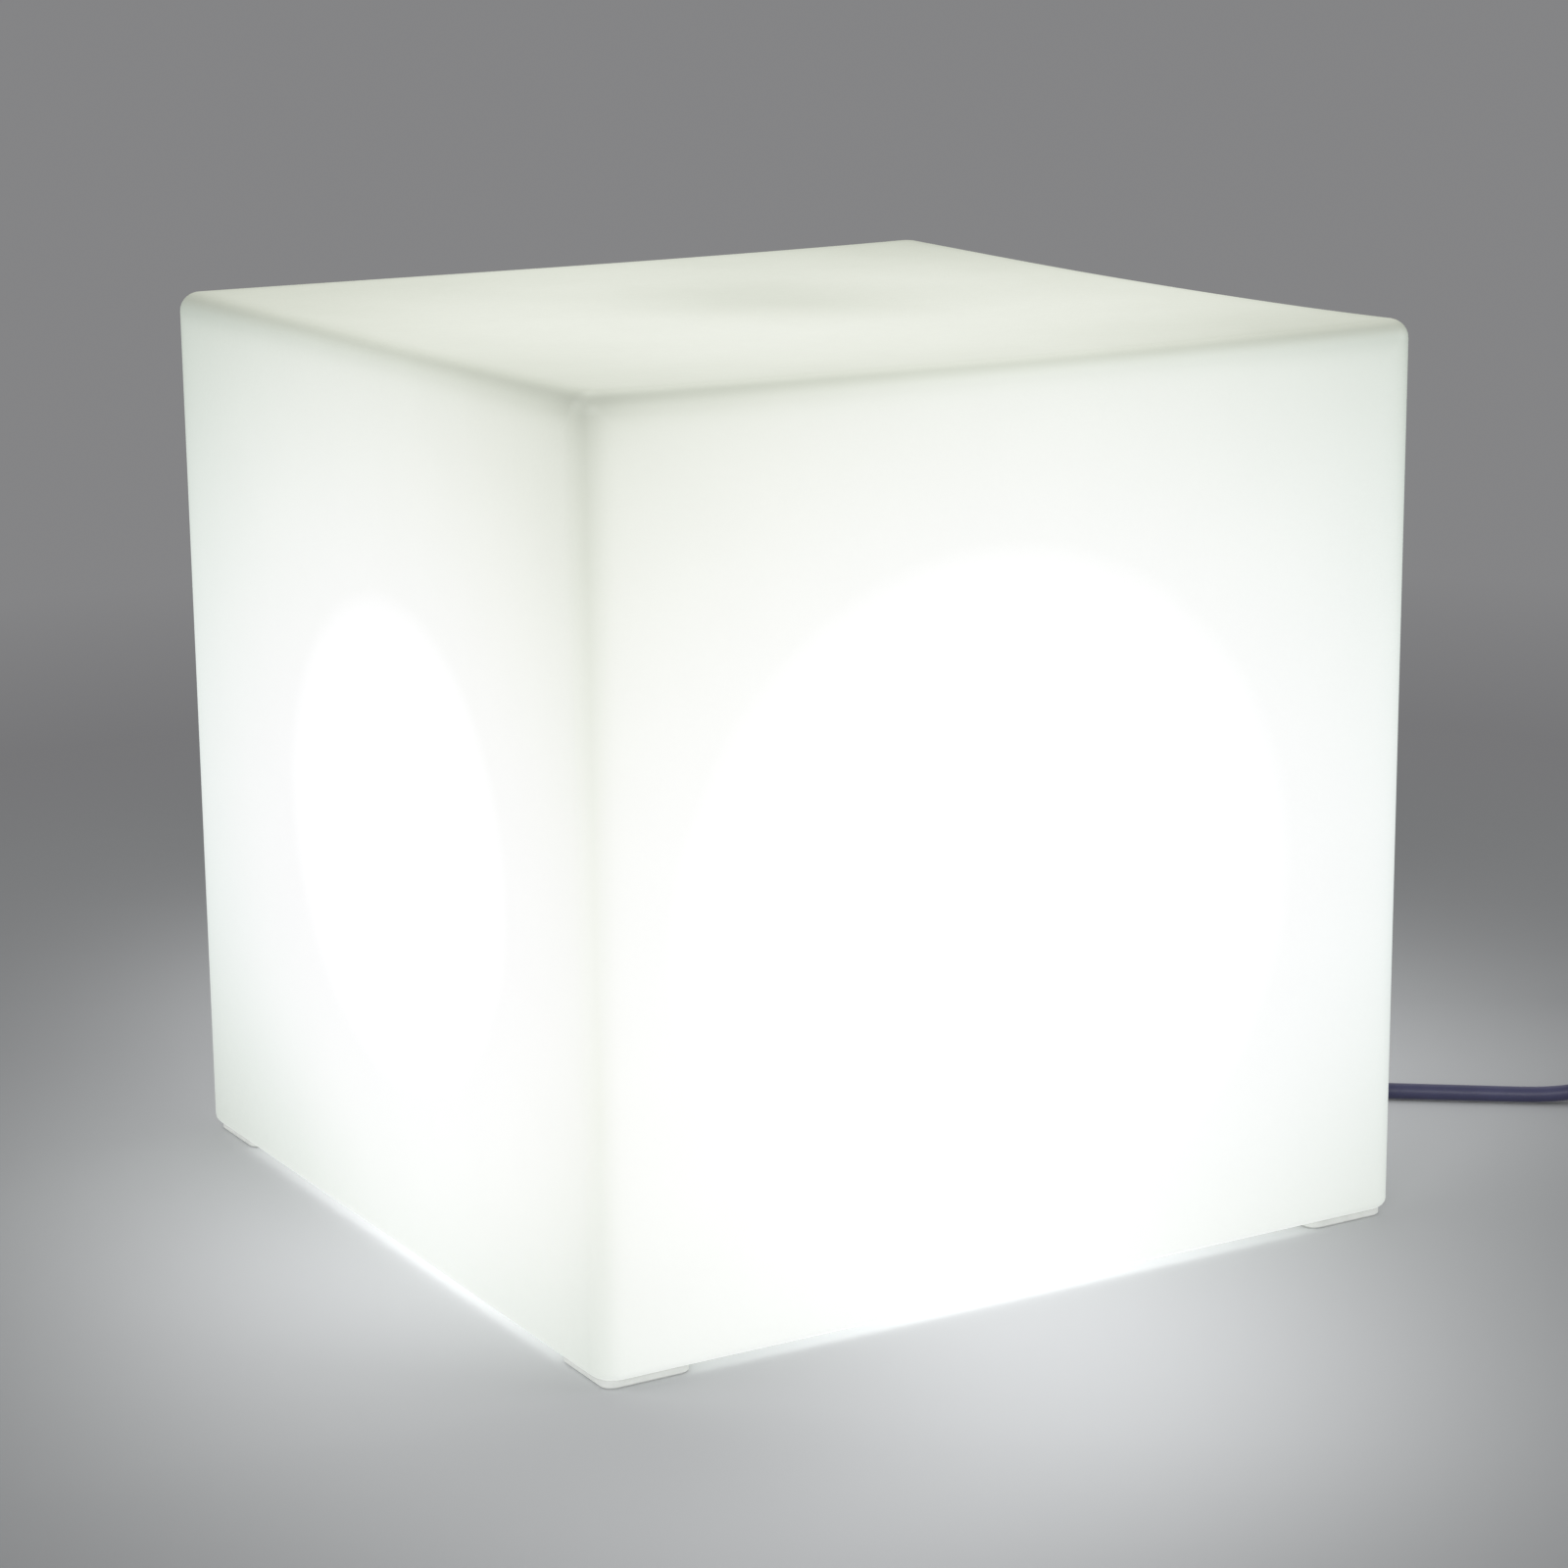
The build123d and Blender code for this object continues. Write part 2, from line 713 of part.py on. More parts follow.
def bulb_housing():
    neck_outer = thread_crest_radius - thread_depth - thread_sheet - neck_fit
    neck_inner = neck_outer - housing_wall
    neck_low = bulb_cap_top_z - neck_insertion
    middle_z = (bulb_cap_top_z + rim_z) / 2
    inner_low = bulb_cap_top_z + housing_wall
    chain = [
        Line((neck_inner, 0, neck_low), (neck_outer, 0, neck_low)),
        Line((neck_outer, 0, neck_low), (neck_outer, 0, bulb_cap_top_z)),
        Line((neck_outer, 0, bulb_cap_top_z), (housing_neck_radius, 0, bulb_cap_top_z)),
        ThreePointArc(
            (housing_neck_radius, 0, bulb_cap_top_z), (housing_waist_radius, 0, middle_z), (rim_radius, 0, rim_z)
        ),
        Line((rim_radius, 0, rim_z), (rim_radius - housing_wall, 0, rim_z)),
        ThreePointArc(
            (rim_radius - housing_wall, 0, rim_z),
            (housing_waist_radius - housing_wall, 0, middle_z),
            (housing_neck_radius - housing_wall, 0, inner_low),
        ),
        Line((housing_neck_radius - housing_wall, 0, inner_low), (neck_inner, 0, inner_low)),
        Line((neck_inner, 0, inner_low), (neck_inner, 0, neck_low)),
    ]
    return revolve(make_face(chain), Axis.Z)


def heat_sink():
    top = led_board_low_z
    low = top - sink_height
    upper = housing_inner_radius(top) - sink_gap
    lower = housing_inner_radius(low) - sink_gap
    return turned(
        [
            (0, top - sink_wall),
            (upper - sink_wall, top - sink_wall),
            (lower - sink_wall, low),
            (lower, low),
            (upper, top),
            (0, top),
        ]
    )


def led_board():
    radius = housing_inner_radius(led_board_low_z) - led_board_gap
    board = post(radius, led_board_low_z, led_board_low_z + led_board_thickness)
    return board - post(led_size / 2, led_board_low_z - 1, led_board_low_z + led_board_thickness + 1)


def leds():
    low = led_board_low_z + led_board_thickness
    half = led_size / 2
    chip = block((-half, half), (-half, half), (low, low + led_height))
    chip = chamfer(chip.edges().group_by(Axis.Z)[-1], led_height * 0.3)
    return [place * chip for place in ring_places(led_count, led_circle_radius, 0)]


def driver_top_z():
    return led_board_low_z - sink_height


def driver_board():
    half = driver_width / 2
    top = driver_top_z()
    return block((-half, half), (-driver_thickness / 2, driver_thickness / 2), (top - driver_length, top))


def driver_components():
    face = driver_thickness / 2
    top = driver_top_z()
    capacitor = Pos(0, face + capacitor_radius, 0) * post(capacitor_radius, top - capacitor_length, top)
    half = choke_size / 2
    choke = block((-half, half), (-face - choke_size, -face), (top - choke_size - 1, top - 1))
    choke = fillet(choke.edges().filter_by(Axis.Y), half * 0.4)
    chip = block((-half, half), (-face - 1.5, -face), (top - 2.4 * choke_size, top - 1.7 * choke_size))
    return [capacitor, choke, chip]


def bulb_dome():
    inner = bulb_radius - dome_wall
    lean = math.radians(40)
    low_inner = math.sqrt(inner**2 - (bulb_centre_z - rim_z) ** 2)
    chain = [
        ThreePointArc(
            (rim_radius, 0, rim_z),
            (bulb_radius * math.cos(lean), 0, bulb_centre_z + bulb_radius * math.sin(lean)),
            (0, 0, bulb_top_z),
        ),
        Line((0, 0, bulb_top_z), (0, 0, bulb_centre_z + inner)),
        ThreePointArc(
            (0, 0, bulb_centre_z + inner),
            (inner * math.cos(lean), 0, bulb_centre_z + inner * math.sin(lean)),
            (low_inner, 0, rim_z),
        ),
        Line((low_inner, 0, rim_z), (rim_radius, 0, rim_z)),
    ]
    return revolve(make_face(chain), Axis.Z)


def bend_radii(points):
    """Each corner's arc, as large as its two runs allow."""
    radii = []
    for before, corner, after in zip(points, points[1:], points[2:]):
        back = Vector(*before) - Vector(*corner)
        ahead = Vector(*after) - Vector(*corner)
        turn = 180 - back.get_angle(ahead)
        radii.append(0.45 * min(back.length, ahead.length) / math.tan(math.radians(turn / 2)))
    return radii


def swept(path, radius, start, heading):
    """A round section carried along a path."""
    return sweep(Plane(origin=start, z_dir=heading) * Circle(radius), path=path)


def cord_run(name, points, radius):
    """A tube along straight runs joined by arcs, with its length, radii and volume printed."""
    radii = bend_radii(points)
    path = FilletPolyline(*points, radius=radii)
    heading = Vector(*points[1]) - Vector(*points[0])
    solid = swept(path, radius, points[0], heading)
    ratio = solid.volume / (math.pi * radius**2 * path.length)
    print(name, "length", round(path.length, 1), "volume ratio", round(ratio, 4))
    print(name, "radii", [round(value) for value in radii])
    return solid


def leads():
    """One insulated lead to each terminal, up through the nipple."""
    solids = []
    for side in (-1, 1):
        y = side * lead_spacing / 2
        inlet = side * terminal_inner_y
        points = [(sheath_end_x, y, cord_z), (0, y, cord_z), (0, y, terminal_z), (0, inlet, terminal_z)]
        path = FilletPolyline(*points, radius=bend_radii(points))
        solids.append(swept(path, lead_radius, points[0], (-1, 0, 0)))
    return solids


def in_coil_frame(points):
    """Points of the coil's frame, in the cube's frame."""
    moved = []
    for x, y, z in points:
        place = coil_frame * Pos(x, y, z)
        moved.append(tuple(place.position))
    return moved


def lamp_cord():
    points = lamp_cord_points + in_coil_frame(lamp_cord_end)
    return cord_run("lamp_cord", points, cord_radius)


def cord_coil():
    """Half turns that spiral in, climb a layer where the spiral reverses, and spiral out."""
    step = coil_pitch / 2
    low = cord_radius
    high = cord_radius + coil_pitch
    lead_in = 2 * cord_radius
    x = coil_outer_radius
    pieces = [Line((x, -lead_in, low), (x, 0, low))]
    radius = coil_outer_radius
    side = 1
    for _ in range(coil_half_turns_in):
        end = x - side * 2 * radius
        pieces.append(ThreePointArc((x, 0, low), ((x + end) / 2, side * radius, low), (end, 0, low)))
        x = end
        side = -side
        radius -= step
    end = x - side * 2 * radius
    start_point = Vector(x, 0, low)
    end_point = Vector(end, 0, high)
    ahead = Vector(0, side, 0)
    half_way = (start_point + end_point) / 2 + ahead * ((end_point - start_point).length / 2)
    pieces.append(TangentArc(start_point, half_way, tangent=ahead))
    pieces.append(TangentArc(half_way, end_point, tangent=pieces[-1] % 1))
    x = end
    side = -side
    radius += step
    for _ in range(coil_half_turns_out):
        end = x - side * 2 * radius
        pieces.append(ThreePointArc((x, 0, high), ((x + end) / 2, side * radius, high), (end, 0, high)))
        x = end
        side = -side
        radius += step
    pieces.append(Line((x, 0, high), (x, lead_in, high)))
    path = Wire([piece.edge() for piece in pieces])
    solid = swept(path, cord_radius, (coil_outer_radius, -lead_in, low), (0, 1, 0))
    ratio = solid.volume / (math.pi * cord_radius**2 * path.length)
    print("cord_coil length", round(path.length, 1), "volume ratio", round(ratio, 4))
    print("cord_coil least gap to itself", round(least_gap(pieces), 2))
    return coil_frame * solid


def least_gap(pieces):
    """The nearest that the coil's surface comes to itself, measured on points along its line."""
    spots = []
    travelled = 0.0
    for piece in pieces:
        count = max(2, int(piece.length / 1.5))
        for index in range(count):
            spots.append((travelled + piece.length * index / count, piece @ (index / count)))
        travelled += piece.length
    nearest = 1e9
    for number, (way, spot) in enumerate(spots):
        for later_way, later in spots[number + 1 :]:
            if later_way - way > 10 * cord_radius:
                nearest = min(nearest, (spot - later).length)
    return nearest - 2 * cord_radius


def switch_body():
    """The outer form of both halves of the switch housing."""
    half = switch_length / 2
    body = block((-half, half), (-switch_width / 2, switch_width / 2), (0, switch_height))
    body = fillet(body.edges().filter_by(Axis.Z), switch_corner_radius)
    body = fillet(body.edges().group_by(Axis.Z)[-1] + body.edges().group_by(Axis.Z)[0], switch_edge_radius)
    return body + rod(nozzle_radius, -switch_end, switch_end, z=switch_middle_z)


def switch_hollow():
    """The space inside the switch housing, with the cord's holes."""
    half_length = switch_length / 2 - switch_wall
    half_width = switch_width / 2 - switch_wall
    hollow = block((-half_length, half_length), (-half_width, half_width), (switch_wall, switch_height - switch_wall))
    hollow = fillet(hollow.edges().filter_by(Axis.Z), switch_corner_radius - switch_wall)
    return hollow + rod(cord_radius + bush_fit, -switch_end - 1, switch_end + 1, z=switch_middle_z)


def switch_screw_places():
    return [Pos(side * switch_screw_x, side * switch_screw_y, 0) for side in (-1, 1)]


def switch_lower():
    half = (switch_body() - switch_hollow()) & block((-99, 99), (-99, 99), (0, switch_middle_z))
    for place in switch_screw_places():
        half += place * post(switch_boss_radius, switch_wall / 2, switch_middle_z)
        half -= place * post(switch_screw_radius + screw_fit, -1, switch_middle_z + 1)
        half -= place * post(switch_screw_head_radius + 0.2, -1, switch_screw_head_height)
    return half


def switch_upper():
    half = (switch_body() - switch_hollow()) & block((-99, 99), (-99, 99), (switch_middle_z, switch_height))
    for place in switch_screw_places():
        half += place * post(switch_boss_radius, switch_middle_z, switch_height - switch_wall / 2)
        half -= place * post(switch_screw_radius + screw_fit, switch_middle_z - 1, switch_screw_length + 0.5)
    reach = rocker_half_length + rocker_gap
    side = rocker_width / 2 + rocker_side_gap
    half -= block((-reach, reach), (-side, side), (switch_height - switch_wall - 1, switch_height + 1))
    for sign in (-1, 1):
        lug_y = sorted((sign * side, sign * (side + lug_thickness)))
        top = switch_height - switch_wall / 2
        lug = block((-lug_width / 2, lug_width / 2), lug_y, (rocker_level - lug_depth, top))
        half += lug
    pin = Pos(0, 0, rocker_level) * Rot(90, 0, 0) * Cylinder(
        trunnion_radius + trunnion_fit, 2 * (side + lug_thickness) + 0.2
    )
    return half - pin


def switch_rocker():
    half = rocker_half_length
    chain = [
        Line((-half, 0, -rocker_side_depth), (-half, 0, rocker_end_height)),
        ThreePointArc((-half, 0, rocker_end_height), (0, 0, rocker_middle_height), (half, 0, rocker_end_height)),
        Line((half, 0, rocker_end_height), (half, 0, -rocker_side_depth)),
        ThreePointArc((half, 0, -rocker_side_depth), (0, 0, -rocker_belly_depth), (-half, 0, -rocker_side_depth)),
    ]
    body = extrude(make_face(chain), rocker_width / 2, both=True)
    body = fillet(body.edges().filter_by(Axis.Y).group_by(Axis.Z)[-1], 0.8)
    body += Rot(90, 0, 0) * Cylinder(trunnion_radius, rocker_width + 2 * trunnion_length)
    return Pos(0, 0, rocker_level) * Rot(0, rocker_tilt, 0) * body


def switch_screws():
    screw = post(switch_screw_radius, switch_screw_head_height, switch_screw_length)
    screw += post(switch_screw_head_radius, 0.3, switch_screw_head_height)
    screw -= cross_slots(switch_screw_head_radius * 0.7, 0, 0.9)
    return [place * screw for place in switch_screw_places()]


def switch_sheath_ends():
    solids = []
    for side in (-1, 1):
        reach = sorted((side * switch_end, side * (switch_end - sheath_in_switch)))
        solids.append(rod(cord_radius, *reach, z=switch_middle_z))
    return solids


def switch_contacts():
    solids = []
    for side in (-1, 1):
        inner_x = side * (switch_terminal_x - switch_terminal_length / 2)
        outer_x = side * (switch_terminal_x + switch_terminal_length / 2)
        y = (wire_offset - switch_terminal_width / 2, wire_offset + switch_terminal_width / 2)
        terminal = block(sorted((inner_x, outer_x)), y, (switch_wall, switch_wall + switch_terminal_height))
        leaf_x = sorted((inner_x, inner_x - side * switch_leaf_length))
        leaf_y = (wire_offset - switch_leaf_width / 2, wire_offset + switch_leaf_width / 2)
        leaf = block(leaf_x, leaf_y, (switch_leaf_level, switch_leaf_level + switch_leaf_thickness))
        solids.append(terminal + leaf)
    return solids


def switch_wires():
    sheath_x = switch_end - sheath_in_switch
    terminal_x = switch_terminal_x + switch_terminal_length / 2
    solids = []
    for side in (-1, 1):
        reach = sorted((side * sheath_x, side * terminal_x))
        solids.append(rod(wire_radius, *reach, y=wire_offset, z=switch_middle_z))
    bypass_y = -switch_width / 2 + switch_wall + 3.2
    half = [
        (sheath_x, -wire_offset, switch_middle_z),
        (sheath_x - 2.5, -wire_offset, switch_middle_z),
        (sheath_x - 8.0, bypass_y, switch_middle_z),
    ]
    points = [(-x, y, z) for x, y, z in half] + half[::-1]
    path = FilletPolyline(*points, radius=bend_radii(points))
    solids.append(swept(path, wire_radius, points[0], (1, 0, 0)))
    return solids


def switch_cord():
    return cord_run("switch_cord", in_coil_frame(switch_cord_points), cord_radius)


def plug_cord():
    return cord_run("plug_cord", in_coil_frame(plug_cord_points), cord_radius)


def plug_relief():
    relief = Cone(plug_relief_end_radius, plug_relief_root_radius, plug_relief_length, align=on_base)
    step = plug_relief_length / (plug_relief_ring_count + 1)
    growth = (plug_relief_root_radius - plug_relief_end_radius) / plug_relief_length
    for index in range(plug_relief_ring_count):
        low = step * (index + 0.7)
        floor_radius = plug_relief_end_radius + growth * low - plug_relief_ring_depth
        groove = post(plug_relief_root_radius + 1, low, low + plug_relief_ring_width)
        relief -= groove - post(floor_radius, low - 1, low + plug_relief_ring_width + 1)
    return Pos(0, 0, plug_middle_z) * Rot(0, 90, 0) * relief


def plug_body():
    front = plug_relief_length + plug_length
    rear = plug_relief_length
    outline = Polyline(
        (rear, -plug_rear_width / 2),
        (rear + plug_shoulder, -plug_width / 2),
        (front - plug_front_taper, -plug_width / 2),
        (front, -plug_front_width / 2),
        (front, plug_front_width / 2),
        (front - plug_front_taper, plug_width / 2),
        (rear + plug_shoulder, plug_width / 2),
        (rear, plug_rear_width / 2),
        close=True,
    )
    body = extrude(make_face(outline), plug_thickness)
    body = fillet(body.edges().filter_by(Axis.Z), plug_edge_radius)
    body = fillet(body.edges().group_by(Axis.Z)[0] + body.edges().group_by(Axis.Z)[-1], plug_edge_radius * 0.6)
    for side in (-1, 1):
        body -= rod(pin_radius, front - pin_rooted, front + 1, y=side * pin_spacing / 2, z=plug_middle_z)
    return body


def plug_pins():
    front = plug_relief_length + plug_length
    solids = []
    for side in (-1, 1):
        y = side * pin_spacing / 2
        root = rod(pin_radius, front - pin_rooted, front, y=y, z=plug_middle_z)
        neck = rod(pin_neck_radius, front, front + pin_sleeve_length, y=y, z=plug_middle_z)
        end = rod(pin_radius, front + pin_sleeve_length, front + pin_length, y=y, z=plug_middle_z)
        end = fillet(end.edges().group_by(Axis.X)[-1], pin_radius * 0.6)
        solids.append(root + neck + end)
    return solids


def plug_pin_sleeves():
    front = plug_relief_length + plug_length
    solids = []
    for side in (-1, 1):
        y = side * pin_spacing / 2
        sleeve = rod(pin_radius, front, front + pin_sleeve_length, y=y, z=plug_middle_z)
        solids.append(sleeve - rod(pin_neck_radius, front - 1, front + pin_sleeve_length + 1, y=y, z=plug_middle_z))
    return solids


def placed(solids, location):
    """One solid or a list of them, moved."""
    if isinstance(solids, list):
        return [location * solid for solid in solids]
    return location * solids


switch_frame = coil_frame * Pos(*switch_place, 0)
plug_frame = coil_frame * Pos(*plug_place, 0) * Rot(0, 0, 180)

live_lead, neutral_lead = leads()
nodes = {
    "cube_shell": cube_shell(),
    "foot_front_left": corner_foot(-1, -1),
    "foot_front_right": corner_foot(1, -1),
    "foot_back_left": corner_foot(-1, 1),
    "foot_back_right": corner_foot(1, 1),
    "cover_inserts": cover_inserts(),
    "cover_seal": cover_seal(),
    "base_cover": base_cover(),
    "cover_screws": cover_screws(),
    "cord_bush": cord_bush(),
    "inner_cord": inner_cord(),
    "cord_clamp": cord_clamp(),
    "clamp_screws": clamp_screws(),
    "holder_bridge": holder_bridge(),
    "bridge_screws": bridge_screws(),
    "threaded_nipple": threaded_nipple(),
    "nipple_nut": nipple_nut(),
    "holder_cap": holder_cap(),
    "holder_core": holder_core(),
    "holder_terminals": holder_terminals(),
    "terminal_screws": terminal_screws(),
    "centre_contact": centre_contact(),
    "holder_skirt": holder_skirt(),
    "screw_sleeve": screw_sleeve(),
    "live_lead": live_lead,
    "neutral_lead": neutral_lead,
    "bulb_tip_contact": bulb_tip_contact(),
    "bulb_cap_insulator": bulb_cap_insulator(),
    "bulb_cap": bulb_cap(),
    "bulb_housing": bulb_housing(),
    "bulb_heat_sink": heat_sink(),
    "bulb_led_board": led_board(),
    "bulb_leds": leds(),
    "bulb_driver_board": driver_board(),
    "bulb_driver_components": driver_components(),
    "bulb_dome": bulb_dome(),
    "lamp_cord": lamp_cord(),
    "switch_lower": placed(switch_lower(), switch_frame),
    "switch_upper": placed(switch_upper(), switch_frame),
    "switch_rocker": placed(switch_rocker(), switch_frame),
    "switch_screws": placed(switch_screws(), switch_frame),
    "switch_sheath_ends": placed(switch_sheath_ends(), switch_frame),
    "switch_contacts": placed(switch_contacts(), switch_frame),
    "switch_wires": placed(switch_wires(), switch_frame),
    "switch_cord": switch_cord(),
    "cord_coil": cord_coil(),
    "plug_cord": plug_cord(),
    "plug_relief": placed(plug_relief(), plug_frame),
    "plug_body": placed(plug_body(), plug_frame),
    "plug_pins": placed(plug_pins(), plug_frame),
    "plug_pin_sleeves": placed(plug_pin_sleeves(), plug_frame),
}

os.makedirs("parts", exist_ok=True)
for name, shape in nodes.items():
    if isinstance(shape, list):
        shape = Compound(children=[solid for item in shape for solid in item.solids()])
    export_step(shape, f"parts/{name}.step")
print(len(nodes), "nodes; bulb tip", round(tip_z, 2), "bulb centre", round(bulb_centre_z, 2))
print("switch at", [round(value, 3) for value in switch_frame.position], "plug at", plug_frame.position)
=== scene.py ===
import math

import bpy
import numpy as np
from mathutils import Matrix, Vector


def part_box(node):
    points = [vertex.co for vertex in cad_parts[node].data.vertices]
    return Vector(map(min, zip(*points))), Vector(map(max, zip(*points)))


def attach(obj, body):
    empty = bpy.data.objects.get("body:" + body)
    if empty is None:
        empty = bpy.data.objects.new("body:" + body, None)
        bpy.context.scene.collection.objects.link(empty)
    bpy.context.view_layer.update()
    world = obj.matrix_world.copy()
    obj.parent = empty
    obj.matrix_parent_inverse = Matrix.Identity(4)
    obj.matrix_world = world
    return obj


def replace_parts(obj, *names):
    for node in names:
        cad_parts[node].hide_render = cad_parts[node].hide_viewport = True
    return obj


# A plug-in light cube: a glowing moulded shell on four pads, its dark cord, and what they hold.
# Everything is in metres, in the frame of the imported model, whose origin is on the floor under the cube.

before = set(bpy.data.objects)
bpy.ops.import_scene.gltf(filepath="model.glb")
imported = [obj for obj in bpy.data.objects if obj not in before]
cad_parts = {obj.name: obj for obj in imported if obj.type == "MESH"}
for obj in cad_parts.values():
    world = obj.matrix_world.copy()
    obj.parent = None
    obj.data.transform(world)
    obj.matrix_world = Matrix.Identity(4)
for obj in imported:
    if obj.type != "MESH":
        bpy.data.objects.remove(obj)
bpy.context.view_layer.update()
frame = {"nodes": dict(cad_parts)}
print("frame loaded with", len(frame["nodes"]), "nodes")


photoView = {
    "place": (-0.6725, -1.1511, 0.4616),
    "turn": -30.4034,  # degrees, from looking along +Y
    "drop": 13.6755,  # degrees below the horizon
    "roll": -0.5706,
    "lens": 93.02,
}


def setCamera():
    turn, drop, roll = (math.radians(photoView[key]) for key in ("turn", "drop", "roll"))
    back = Vector((math.sin(turn) * math.cos(drop), -math.cos(turn) * math.cos(drop), math.sin(drop)))
    right = Vector((math.cos(turn), math.sin(turn), 0))
    up = back.cross(right)
    tiltedRight = right * math.cos(roll) + up * math.sin(roll)
    tiltedUp = up * math.cos(roll) - right * math.sin(roll)
    camera = bpy.data.objects.new("photoCamera", bpy.data.cameras.new("photoCamera"))
    camera.data.lens = photoView["lens"]
    axes = Matrix((tiltedRight, tiltedUp, back)).transposed().to_4x4()
    camera.matrix_world = Matrix.Translation(photoView["place"]) @ axes
    bpy.context.scene.collection.objects.link(camera)
    bpy.context.scene.camera = camera


setCamera()
print("camera set")


cordForm = {
    "radius": 0.003,
    "lampLength": 0.275,  # from the bush to the switch
    "restLength": 1.4415,  # from the switch, through the coil, to the plug
    "coilMiddle": (0.402, -0.106),
    "coilTurn": -38.0,  # degrees
    "coilEdge": 0.043,  # radius of the outermost turn
    "coilPitch": 0.0065,
    "halfTurnsIn": 6,  # then one that climbs, and one fewer out again
    "pointsPerHalfTurn": 12,
    "lowLayer": 0.003,
    "highLayer": 0.0092,
    "smoothness": 5,
}


def inCoilFrame(points):
    # turned about an upright line, then moved to the coil's middle
    points = np.array(points, float)
    turn = math.radians(cordForm["coilTurn"])
    x = cordForm["coilMiddle"][0] + points[:, 0] * math.cos(turn) - points[:, 1] * math.sin(turn)
    y = cordForm["coilMiddle"][1] + points[:, 0] * math.sin(turn) + points[:, 1] * math.cos(turn)
    return np.stack([x, y, points[:, 2]], axis=1)


def coilPoints():
    # half turns whose ends step along X by a pitch on every second one: in, one that climbs a layer, and out
    count = cordForm["halfTurnsIn"]
    steps = cordForm["pointsPerHalfTurn"]
    number = np.arange(2 * count + 1)
    ends = cordForm["coilEdge"] - cordForm["coilPitch"] * np.minimum(number // 2, count - number // 2)
    step = np.arange(2 * count * steps + 1)
    half = np.minimum(step // steps, 2 * count - 1)
    angle = np.pi * step / steps
    radius = (ends[half] + ends[half + 1]) / 2
    middle = np.where(half % 2 == 0, 1, -1) * (ends[half] - ends[half + 1]) / 2
    climbed = np.clip(step / steps - count, 0, 1)
    rise = climbed - np.sin(2 * np.pi * climbed) / (2 * np.pi)
    height = cordForm["lowLayer"] + (cordForm["highLayer"] - cordForm["lowLayer"]) * rise
    return np.stack([middle + radius * np.cos(angle), radius * np.sin(angle), height], axis=1)


lampRoute = [  # from the bush down to the floor and on towards the switch
    (0.0690, 0.0000, 0.0140),
    (0.0860, 0.0000, 0.0140),
    (0.1100, -0.0006, 0.0106),
    (0.1360, 0.0008, 0.0059),
    (0.1600, -0.0028, 0.0034),
    (0.1820, -0.0145, 0.0030),
    (0.2050, -0.0340, 0.0030),
    (0.2300, -0.0538, 0.0030),
    (0.2540, -0.0720, 0.0030),
    (0.2760, -0.0885, 0.0030),
]
lampRouteEnd = [  # into the switch, in the coil's own frame, as the next two are
    (-0.0870, -0.0600, 0.0085),
    (-0.0720, -0.0600, 0.0085),
]
switchRoute = [  # out of the switch and round into the coil
    (-0.0020, -0.0600, 0.0085),
    (0.0126, -0.0600, 0.0085),
    (0.0265, -0.0542, 0.0072),
    (0.0372, -0.0435, 0.0052),
    (0.0426, -0.0296, 0.0035),
    (0.0430, -0.0170, 0.0030),
    (0.0430, -0.0060, 0.0030),
]
plugRoute = [  # off the top of the coil and round into the plug
    (0.0430, 0.0060, 0.0092),
    (0.0430, 0.0200, 0.0090),
    (0.0425, 0.0360, 0.0070),
    (0.0369, 0.0507, 0.0038),
    (0.0257, 0.0619, 0.0039),
    (0.0110, 0.0680, 0.0068),
    (-0.0040, 0.0680, 0.00685),
]


def makeCord(name, route):
    # a round tube on a smooth quadratic line that the route's points steer
    curve = bpy.data.curves.new(name, "CURVE")
    curve.dimensions = "3D"
    line = curve.splines.new("NURBS")
    line.points.add(len(route) - 1)
    line.points.foreach_set("co", np.hstack([route, np.ones((len(route), 1))]).ravel())
    line.points.foreach_set("radius", np.full(len(route), cordForm["radius"]))
    line.order_u = 3
    line.use_endpoint_u = True
    line.resolution_u = cordForm["smoothness"]
    curve.bevel_depth = 1.0  # times each point's radius
    curve.bevel_resolution = cordForm["smoothness"]
    curve.use_fill_caps = True
    cord = bpy.data.objects.new(name, curve)
    bpy.context.scene.collection.objects.link(cord)
    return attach(cord, "lamp")


lampLine = np.vstack([lampRoute, inCoilFrame(lampRouteEnd)])
restLine = np.vstack([inCoilFrame(switchRoute), inCoilFrame(coilPoints()), inCoilFrame(plugRoute)])
lampCord = makeCord("lampCord", lampLine)
restCord = makeCord("restCord", restLine)
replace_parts(lampCord, "lamp_cord")
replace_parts(restCord, "switch_cord", "cord_coil", "plug_cord")
print("cords laid")


